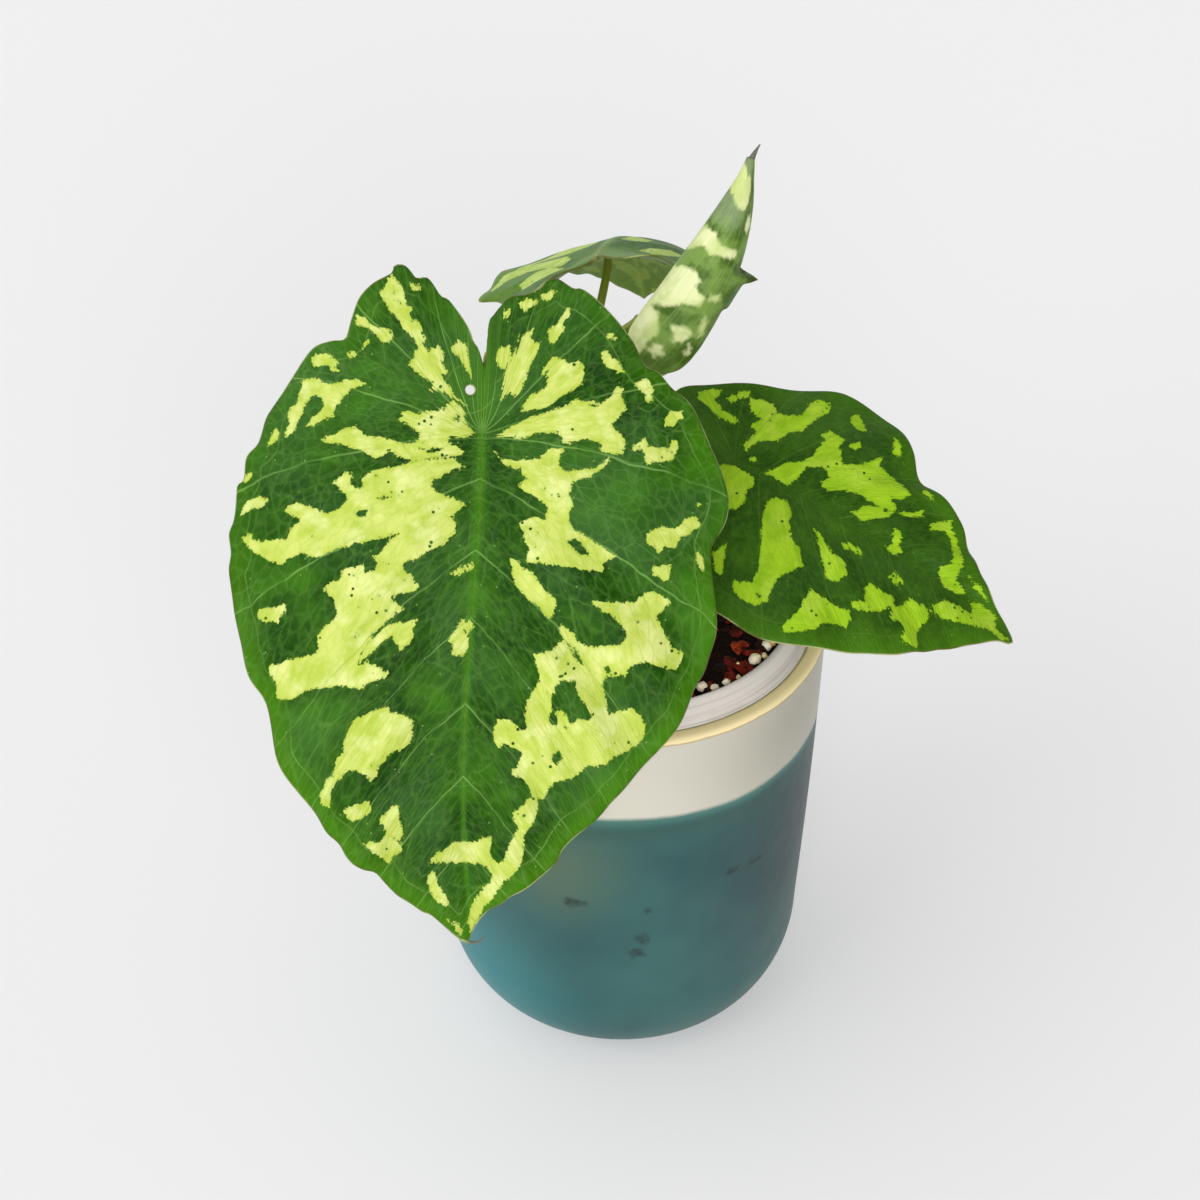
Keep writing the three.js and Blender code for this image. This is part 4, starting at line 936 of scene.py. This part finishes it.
def rolled_material():
    """The young leaf's underside: grey green with soft cream marbling, paler mottles in both, fine
    lengthwise veins, and a brown outer edge, with a painted grey sheen high up on one side of the green."""
    shader = Shader("rolled_leaf")
    across, along, edge, outline = shader.attributes("across", "along", "edge", "pale")
    flat = shader.together(across, along, 0.0)
    ragged = (shader.noise(flat, 0.22, 3) - 0.5) * 4 + (shader.noise(flat, 0.9, 2) - 0.5) * 1.2
    marbled = shader.step(outline + ragged, 0.9, -0.7)
    mottle = shader.step(shader.noise(flat, 0.13, 3), 0.38, 0.62)
    veins = shader.noise(shader.together(across * 2.4, along * 0.12, 0.0), 0.6, 2)
    green = shader.coats(
        (62, 92, 20),
        (mottle, (110, 140, 62)),
        (shader.step(along, 12, 0) * 0.7, (112, 142, 68)),
        # Painted sheen: paler grey green high up on the roll, standing in for its gloss.
        (shader.step(along, 44, 50) * shader.step(across, 8, 18) * 0.7, (122, 138, 102)),
    )
    cream = shader.coats(
        (212, 216, 164),
        (mottle, (184, 198, 126)),
        (shader.step(along, 52, 58) * 0.6, (182, 196, 116)),
    )
    colour = shader.coats(
        green,
        (marbled, cream),
        (shader.step(veins, 0.5, 0.7) * 0.25, (160, 180, 110)),
        (shader.step(edge, 0.5, 0.15) * 0.7, (112, 92, 62)),
    )
    roughness = shader.step(veins, 0.2, 0.8, 0.4, 0.55)
    return shader.finish(colour, roughness, veins, bump=0.25, relief=0.0004, Specular_IOR_Level=0.15)


def horn_material():
    """The withered point of a young leaf: brown grey, ridged lengthwise."""
    shader = Shader("withered_tip")
    along, round_it = shader.attributes("length_along", "round_it")
    ridges = shader.noise(shader.together(round_it * 30, along * 0.2, 0.0), 1, 2)
    dry = shader.mix(ridges, (62, 56, 46), (112, 112, 98))
    colour = shader.mix(shader.step(along, 0.5, 3.5), (140, 158, 96), dry)
    return shader.finish(colour, 0.6, ridges, bump=0.4, relief=0.0003)


def make_drip_point(material):
    """The thin dry point that the front leaf's tip ends in, curled sideways along the blade."""
    spots = np.array([[3.6, 137.4], [1.4, 138.6], [-1, 138.4], [-3.4, 136.8]])
    path = smooth_curve(blade_surface(FRONT, *spots.T), 16)
    piece = tube("leaf_front_tip", path, np.linspace(0.6, 0.15, 16), material, sides=12)
    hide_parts("blade_front")


withered = horn_material()
make_rolled_leaf(rolled_material())
make_horn(withered)
make_drip_point(withered)

# Stalks

TUBER_HEIGHT, SOIL_LEVEL = 108, 139.6
STALK_START = 124  # the height, inside the soil, from which a stalk has a mesh

# Each stalk's place on the tuber, its radius there and at the blade, the point that it leans through, and
# how far before the blade it turns square to it.
STALKS = {
    "front": {"foot": (-6, -3), "width": (3.4, 1.9), "lean": (-12, -6, 165), "knee": 14},
    "right": {"foot": (6, -5), "width": (3, 1.6), "lean": (17, -3, 160), "knee": 12},
    "rolled": {"foot": (3, 6), "width": (2.8, 1.5), "lean": (3, 10, 168), "knee": 14},
    "back": {"foot": (-6, 8), "width": (2.6, 1.15), "lean": (-10, 48, 181), "knee": 5},
}


def under_blade(leaf):
    """Where a stalk ends under an open blade, and the way that it comes in: square to the blade."""
    probes = blade_surface(leaf, np.array([0, 0, 0, 1, -1.0]), np.array([0, 1, -1, 0, 0.0]))
    middle, ahead, right = probes[0], probes[1] - probes[2], probes[3] - probes[4]
    approach = np.cross(right, ahead)
    approach /= np.linalg.norm(approach)
    return middle - approach * (BLADE_THICKNESS / 2 + 0.1), approach


def under_roll():
    """Where the rolled leaf's stalk ends, in the notch between its lobes, and how it comes in."""
    foot, higher = roll_surface(np.array([0, 0.1]), np.array([0.5, 0.5]))[0]
    approach = (higher - foot) / np.linalg.norm(higher - foot)
    return foot - approach * 0.1, approach


def stalk_material():
    """A fleshy stalk: olive green, streaked lengthwise and mottled red brown."""
    shader = Shader("fleshy_stalk")
    along, round_it = shader.attributes("length_along", "round_it")
    streaks = shader.noise(shader.together(round_it * 40, along * 0.06, 0.0), 1, 3)
    mottle = shader.noise(shader.together(round_it * 14, along * 0.5, 3.0), 1, 3)
    green = shader.mix(streaks, (92, 108, 14), (140, 152, 40))
    colour = shader.mix(shader.step(mottle, 0.52, 0.7) * 0.5, green, (104, 70, 34))
    return shader.finish(colour, 0.34 + streaks * 0.2, streaks, bump=0.25, relief=0.0004)


def fluting(angle):
    """Nine low ridges round a stalk."""
    return 0.03 * np.cos(9 * angle)


def make_stalk(name, end, approach, material):
    """A stalk's path: straight up out of the tuber, leaning away, then square to the blade that it carries.
    Its radius falls with the 0.6th power of the way along."""
    stalk = STALKS[name]
    x, y = stalk["foot"]
    knee = end - approach * stalk["knee"]
    bends = [(x, y, TUBER_HEIGHT), (1.1 * x, 1.1 * y, SOIL_LEVEL - 4), stalk["lean"], knee, end]
    path = smooth_curve(bends, 70)
    wide, narrow = stalk["width"]
    radii = wide + (narrow - wide) * np.linspace(0, 1, 70) ** 0.6
    above = path[:, 2] > STALK_START
    piece = tube("petiole_" + name, path[above], radii[above], material, ridges=fluting)
    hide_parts("stalk_" + name)


petiole = stalk_material()
make_stalk("front", *under_blade(FRONT), petiole)
make_stalk("right", *under_blade(RIGHT), petiole)
make_stalk("rolled", *under_roll(), petiole)
make_stalk("back", *under_blade(BACK), petiole)

# The stoneware pot and the grow pot

POT_HEIGHT, POT_RIM, POT_RIM_RISE, POT_WALL, POT_FLOOR = 137, 59, 1.9, 4.8, 7
POT_WAIST, POT_WAIST_HEIGHT, POT_FOOT, POT_BULGE = 54.2, 31, 31.5, 0.5

# The glaze's dark smudges: each one's centre, half its length and half its height.
SMUDGES = [
    [(-14.1, -54.3, 72.9), 4.6, 2.2],
    [(31.7, -46.7, 79.0), 2.6, 1.8],
    [(38.1, -41.4, 77.5), 4.2, 1.8],
    [(7.3, -55.6, 70.9), 1.8, 1.9],
    [(5.4, -55.2, 59.4), 2.6, 2.8],
    [(4.3, -55.0, 53.0), 3.6, 2.2],
]


def pot_profile():
    """The pot's section: flat foot, a quarter ellipse up to the waist, a wall that widens straight and
    swells a little half way, a squarish half ellipse over the rim, and the straight inside."""
    corner = np.linspace(0, np.pi / 2, 36)
    round_foot = [POT_FOOT, POT_WAIST_HEIGHT] + np.column_stack(
        [(POT_WAIST - POT_FOOT) * np.sin(corner), -POT_WAIST_HEIGHT * np.cos(corner)]
    )
    top = POT_HEIGHT - POT_RIM_RISE
    up = np.linspace(0, 1, 60)[1:]
    wall = [POT_WAIST, POT_WAIST_HEIGHT] + np.column_stack(
        [(POT_RIM - POT_WAIST) * up + POT_BULGE * np.sin(np.pi * up), (top - POT_WAIST_HEIGHT) * up]
    )
    lip = POT_WALL / 2
    over = np.linspace(0, np.pi, 26)[1:]
    outward = np.sign(np.cos(over)) * np.abs(np.cos(over)) ** 0.7
    rim = [POT_RIM - lip, top] + np.column_stack([lip * outward, POT_RIM_RISE * np.sin(over) ** 0.7])
    down = np.linspace(0, 1, 24)[1:, None]
    inside = [POT_RIM - POT_WALL, top] + down * [POT_WAIST - POT_RIM, POT_WAIST_HEIGHT - top]
    corner_inside = [POT_WAIST - POT_WALL - 2, POT_FLOOR + 9]
    floor = [corner_inside, [42.5, POT_FLOOR + 0.6], [40, POT_FLOOR], [0, POT_FLOOR]]
    return np.vstack([[[0, 0], [POT_FOOT - 1, 0]], round_foot, wall, rim, inside, floor])


def uneven(angle, height):
    """How far from round the thrown pot is: two low swells, growing over its lower 60 mm."""
    return 0.0012 * np.sin(2 * angle + 0.4) * np.clip(height / 60, 0, 1)


def glaze_material():
    """Stoneware dipped twice: mottled teal below, cream above with a green fringe where it runs into the
    teal, a few dark smudges, and a bare tan rim with a paler inner line and a brown outer one. The teal is
    painted lighter and bluer low on the left as a painted highlight and darker on the right as painted
    shade, the cream is painted darker on the right as painted shade, and the olive inner line is partly
    painted shade in the crease where the grow pot meets the rim."""
    shader = Shader("dipped_stoneware")
    place = shader.place()
    x, y, height = [part * 1000 for part in shader.apart(place)]
    broad = shader.noise(place, 20, 3)
    cloud = shader.noise(place, 9, 2)
    fine = shader.noise(place, 180, 4)

    def near(centre, reach):
        """The share of a spot's colour, which fades unevenly over its reach in millimetres."""
        middle = tuple(value * MM for value in centre)
        away = shader.node("VectorMath", {"operation": "DISTANCE"}, {0: place, 1: middle}, "Value")
        return shader.step(away + (broad - 0.5) * 0.02, reach * MM, 0.0)

    smudges = 0.0
    ragged = (shader.noise(place, 330, 3) - 0.5) * 3.4
    front = shader.step(y, -20, -30)
    for centre, long, tall in SMUDGES:
        turn = math.atan2(centre[0], -centre[1])
        level = math.sin(turn) * (y - centre[1]) + math.cos(turn) * (x - centre[0])
        oval = (level / long) ** 2 + ((height - centre[2]) / tall) ** 2
        smudges = (shader.step(oval + ragged, 1.2, -0.3) * front).maths("MAXIMUM", smudges)

    line = height - 107.6 + (shader.noise(place, 24, 2) - 0.5) * 5 + (fine - 0.5) * 0.8
    top = height + (fine - 0.5) * 1.0 + (broad - 0.5) * 0.8
    bare = shader.step(top, 134.7, 135.3)
    inward = shader.step((x**2 + y**2) ** 0.5 + (fine - 0.5) * 0.8, 55.9, 54.9)
    teal = shader.coats(
        (35, 77, 77),
        (shader.step(broad, 0.3, 0.7), (50, 93, 90)),
        # Painted highlight: lighter, bluer teal low on the left, where the glaze catches the light.
        (near((-50, -30, 18), 56) * 0.85, (42, 122, 128)),
        (near((-20, -54, 88), 32) * 0.8, (80, 100, 78)),
        # Painted shade: darker grey teal on the pot's right side.
        (near((58, -12, 76), 72) * 0.9, (36, 52, 57)),
        (smudges * 0.75, (18, 36, 34)),
        (shader.step(line, -11, -4) * shader.step(line, -2.5, -5) * 0.4, (44, 70, 56)),
        (shader.step(line, -3.6, -0.6) * 0.5, (76, 128, 114)),
    )
    cream = shader.coats(
        (212, 208, 195),
        (broad, (196, 192, 178)),
        (shader.step(cloud, 0.45, 0.7) * 0.5, (206, 204, 197)),
        # Painted shade: darker cream on the pot's right side.
        (near((50, -34, 126), 62), (164, 161, 147)),
    )
    clay = shader.coats(
        (248, 230, 182),
        (broad, (224, 202, 150)),
        (shader.step(top, 135.8, 134.9), (158, 130, 78)),
        # Partly painted shade: the rim's inner edge is darker olive where it meets the grow pot, partly the
        # clay's own inner slope.
        (inward * 0.8, (150, 138, 94)),
    )
    colour = shader.coats(teal, (shader.step(line, -1.0, 1.1), cream), (bare, clay))
    roughness = shader.step(bare, 0, 1, 0.36, 0.7) + fine * 0.14
    relief = fine + broad * 2
    return shader.finish(colour, roughness, relief, bump=0.12, relief=0.0008, Specular_IOR_Level=0.3)


def make_pot():
    """The outer pot, a little out of round."""
    points, faces = turned(pot_profile(), 200, uneven)
    piece = mesh_piece("stoneware_pot", points, faces, glaze_material())
    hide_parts("pot")


make_pot()

LINER_LIP, LINER_MOUTH, LINER_TOP, LINER_LIP_DEPTH = 54.7, 48.9, 142.6, 11
LINER_BASE, LINER_WALL, LINER_FOOT = 40, 1.2, 7.3
LINER_SLOPE = np.array(
    [[53.9, 137.6], [53.1, 138.7], [52.6, 139.3], [52, 140.1], [51.5, 140.7], [50.8, 141.6], [50, 142.4]]
)


def grow_pot_material():
    """Off-white nursery plastic, lighter in fine rings round its lip."""
    shader = Shader("grow_pot_plastic")
    place = shader.place()
    x, y, _ = shader.apart(place)
    radius = shader.length(shader.together(x, y, 0.0))
    rings = shader.noise(shader.together(radius * 1100, x * 14, y * 14), 1, 2)
    grime = shader.noise(place, 70, 4)
    colour = shader.coats(
        (196, 187, 183),
        (shader.step(rings, 0.35, 0.62), (218, 210, 205)),
        (shader.step(grime, 0.55, 0.8) * 0.4, (182, 170, 150)),
    )
    return shader.finish(colour, 0.42 + grime * 0.2, rings + grime, bump=0.25, relief=0.0003)


def make_grow_pot():
    """The grow pot's section turned about Z: a tapered wall, a lip folded outwards and down, whose top
    falls outwards in three low steps and rolls over both edges by quarter circles, and a flat floor."""
    quarter = np.linspace(0, np.pi / 2, 8)
    across, up = np.cos(quarter), np.sin(quarter)
    outer = [LINER_LIP - 0.6, LINER_SLOPE[0, 1] - 1] + 0.6 * np.column_stack([across, up])
    inner = [LINER_MOUTH + 0.8, LINER_TOP - 0.8] + 0.8 * np.column_stack([-up, across])
    below_lip = LINER_TOP - LINER_LIP_DEPTH
    neck, base_inside = LINER_MOUTH + LINER_WALL - 0.6, LINER_BASE - LINER_WALL
    floor = LINER_FOOT + LINER_WALL
    base = [[0, LINER_FOOT], [LINER_BASE - 1, LINER_FOOT], [LINER_BASE, LINER_FOOT + 1]]
    skirt = [[neck, below_lip], [53.4, below_lip - 0.1], [53.8, 134], [54.4, 136.2]]
    inside = [[LINER_MOUTH - 0.3, below_lip], [base_inside, LINER_FOOT + 3], [base_inside - 2, floor]]
    profile = np.vstack([base, skirt, outer, LINER_SLOPE, inner, inside, [[0, floor]]])
    points, faces = turned(profile, 180)
    piece = mesh_piece("grow_pot_shell", points, faces, grow_pot_material())
    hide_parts("grow_pot")


make_grow_pot()

# Soil and tuber

LUMP_RINGS, LUMP_SIDES = 3, 7

# Grains in the opening that the photograph shows, each its place and how big it is for HAND_GRAIN. Others
# that fall within OPEN_REACH of its middle are moved to the far side.
OPEN_SOIL, OPEN_REACH = (30, -27), 18
HAND_GRAIN = (1.7, 1.5, 1.5)
RIM_GRAINS = [
    [21.9, -38.7, 140.4, 1.1], [25.4, -39.5, 140.6, 0.95], [28.7, -36.9, 140.6, 0.8],
    [32.2, -34.6, 140.7, 0.5], [32.5, -28.6, 140.4, 0.55], [37, -26.9, 141, 1.2],
    [39.9, -25.4, 141, 0.6], [40.6, -20.6, 140.8, 0.95], [42.6, -19.2, 140.8, 0.6],
]


def lumps(places, sizes, turns, rough, random):
    """Small closed lumps: a unit ball of a few rings and sides, each of its points drawn in or out by a
    random share, stretched by its sizes, tilted about X, spun about Z and set in its place."""
    fall = np.pi * np.arange(1, LUMP_RINGS + 1)[:, None] / (LUMP_RINGS + 1)
    angle = 2 * np.pi * np.arange(LUMP_SIDES)[None] / LUMP_SIDES
    belt, level = np.sin(fall), np.cos(fall) + 0 * angle
    ball = np.stack([belt * np.cos(angle), belt * np.sin(angle), level], -1)
    ball = np.vstack([ball.reshape(-1, 3), [[0, 0, 1], [0, 0, -1]]])
    faces = shell_faces(LUMP_RINGS, LUMP_SIDES)[:, ::-1]
    bumps = 1 + rough * random.uniform(-1, 1, (len(places), len(ball)))
    x, y, z = (ball * bumps[..., None] * sizes[:, None]).transpose(2, 0, 1)
    spin, tilt = turns.T[..., None]
    y, z = y * np.cos(tilt) - z * np.sin(tilt), y * np.sin(tilt) + z * np.cos(tilt)
    x, y = x * np.cos(spin) - y * np.sin(spin), x * np.sin(spin) + y * np.cos(spin)
    points = np.stack([x, y, z], -1) + places[:, None]
    starts = len(ball) * np.arange(len(places))[:, None, None]
    return points.reshape(-1, 3), (faces + starts).reshape(-1, 3), len(ball)


def scatter(count, reach, random):
    """Places spread evenly over a disc on the soil, some heaped a little higher."""
    radius = reach * np.sqrt(random.uniform(0, 1, count))
    angle = random.uniform(0, 2 * np.pi, count)
    rise = SOIL_LEVEL + random.uniform(-0.8, 0.9, count)
    return np.stack([radius * np.cos(angle), radius * np.sin(angle), rise], -1)


def loose_piece(name, count, reach, size, rough, seed, material, placed=None):
    """Lumps scattered over the soil, the first of them moved to given places, joined in one piece."""
    random = np.random.default_rng(seed)
    places = scatter(count, reach, random)
    sizes = random.uniform(*np.array(size).T, (count, 3))
    if placed:
        grains = np.array(placed)
        crowding = np.hypot(*(places[:, :2] - OPEN_SOIL).T) < OPEN_REACH
        places[crowding, :2] *= -1
        places[: len(grains)] = grains[:, :3]
        sizes[: len(grains)] = grains[:, 3:] * HAND_GRAIN
    turns = np.stack([random.uniform(0, 6.28, count), random.uniform(-0.5, 0.5, count)], -1)
    points, faces, each = lumps(places, sizes, turns, rough, random)
    tone = np.repeat(random.uniform(0, 1, count), each)
    piece = mesh_piece(name, points, faces, material, smooth=False, tone=tone)


def soil_material():
    """Dark, damp bark and peat; its near black is partly painted shade from the leaves that hang over it.
    """
    shader = Shader("peat_bed")
    place = shader.place()
    grit = shader.noise(place, 420, 4)
    wet = shader.noise(place, 90, 3)
    # The near black stops are partly painted shade from the leaves over the soil.
    stops = (0.3, (7, 3, 2)), (0.55, (26, 8, 4)), (0.75, (70, 22, 10))
    colour = shader.ramp(grit * 0.6 + wet * 0.4, *stops)
    finish = {"bump": 0.9, "relief": 0.003, "Specular_IOR_Level": 0.1}
    return shader.finish(colour, 0.7 + grit * 0.25, grit + wet, **finish)


def bark_material():
    """Chips of bark, near black to red brown, fibrous and damp."""
    shader = Shader("bark_chips")
    place = shader.place()
    fibres = shader.noise(place, 500, 4, 0.6)
    stops = (0.0, (10, 4, 3)), (0.5, (52, 10, 5)), (0.8, (128, 28, 10)), (1.0, (180, 66, 24))
    colour = shader.ramp(*shader.attributes("tone"), *stops)
    colour = shader.mix(shader.step(fibres, 0.4, 0.65) * 0.7, colour, (12, 5, 3))
    finish = {"bump": 0.8, "relief": 0.001, "Specular_IOR_Level": 0.15}
    return shader.finish(colour, 0.5 + fibres * 0.4, fibres, **finish)


def perlite_material():
    """Perlite grains, cream white, pitted, some stained amber by the bark."""
    shader = Shader("perlite")
    pits = shader.noise(shader.place(), 900, 3)
    stops = (0.0, (250, 240, 218)), (0.5, (244, 226, 186)), (1.0, (226, 180, 88))
    colour = shader.ramp(*shader.attributes("tone"), *stops)
    colour = shader.mix(shader.step(pits, 0.55, 0.75) * 0.5, colour, (150, 120, 84))
    return shader.finish(colour, 0.8, pits, bump=0.6, relief=0.0005)


def tuber_material():
    """A corky brown tuber skin, ringed."""
    shader = Shader("tuber_skin")
    place = shader.place()
    rings = shader.noise(shader.together(0.0, 0.0, shader.apart(place)[2] * 260), 1, 3)
    cork = shader.noise(place, 240, 4)
    colour = shader.mix(rings, (92, 62, 40), (132, 98, 66))
    return shader.finish(colour, 0.8 + cork * 0.1, cork + rings, bump=0.5, relief=0.001)


def dress(node, material):
    """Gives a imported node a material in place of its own."""
    node.data.materials.clear()
    node.data.materials.append(material)


bark_sizes = [(1.6, 4.6), (1.2, 2.8), (0.7, 1.6)]
grain_sizes = [(1.3, 2.4), (1.2, 2.1), (1.2, 1.9)]
dress(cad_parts["soil"], soil_material())
dress(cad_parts["tuber"], tuber_material())
loose_piece("bark_chips", 620, 47, bark_sizes, 0.22, 11, bark_material())
loose_piece("perlite_grains", 190, 47.2, grain_sizes, 0.16, 23, perlite_material(), RIM_GRAINS)

# Floor and light

FLOOR_REACH, FLOOR_GLOW = 12, 0.28
ROOM_LEFT, ROOM_RIGHT = 1.1, 0.4
WINDOW_POWER, FILL_POWER = 64, 30


def make_floor():
    """A pale floor that reaches past the camera's view, lit a little from inside as a light table is,
    which keeps the shadows on it faint."""
    corners = [(FLOOR_REACH * x, FLOOR_REACH * y, 0) for x, y in ((-1, -1), (1, -1), (1, 1), (-1, 1))]
    mesh = bpy.data.meshes.new("floor")
    mesh.from_pydata(corners, [], [(0, 1, 2, 3)])
    shader = Shader("pale_floor")
    place = shader.place()
    tone = shader.step(shader.apart(place)[1] + shader.noise(place, 2.0, 2) * 0.2, -0.4, 1.2)
    colour = shader.mix(tone, (187, 187, 187), (207, 207, 208))
    glow = {"Emission_Color": (1, 1, 1, 1), "Emission_Strength": FLOOR_GLOW}
    mesh.materials.append(shader.finish(colour, 0.8, **glow))
    floor = bpy.data.objects.new("floor", mesh)
    bpy.context.scene.collection.objects.link(floor)


def area_light(name, place, aim, size, power):
    """A soft square light at a place, facing a point."""
    data = bpy.data.lights.new(name, "AREA")
    data.size = size
    data.energy = power
    light = bpy.data.objects.new(name, data)
    light.location = place
    light.rotation_euler = (Vector(aim) - Vector(place)).to_track_quat("-Z", "Y").to_euler()
    bpy.context.scene.collection.objects.link(light)


def make_light():
    """A pale room, brighter on the left than on the right, with one big window-like light on the left
    and a smaller one nearer the front."""
    world = bpy.data.worlds.new("room")
    world.use_nodes = True
    bpy.context.scene.world = world
    room = Shader("room", world)
    side = room.apart(room.node("TexCoord", output="Generated"))[0]
    brightness = room.step(side, -1.0, 1.0, ROOM_LEFT, ROOM_RIGHT)
    walls = room.node("Background", {}, {"Color": (1, 1, 1, 1), "Strength": brightness})
    room.node("OutputWorld", {}, {"Surface": walls})
    area_light("window", (-3.4, -2.5, 3.2), (0, 0, 0.15), 3.4, WINDOW_POWER)
    area_light("front_fill", (0.15, -2.1, 1.1), (0, 0, 0.15), 1.2, FILL_POWER)
    bpy.context.scene.view_settings.view_transform = "Standard"


make_floor()
make_light()
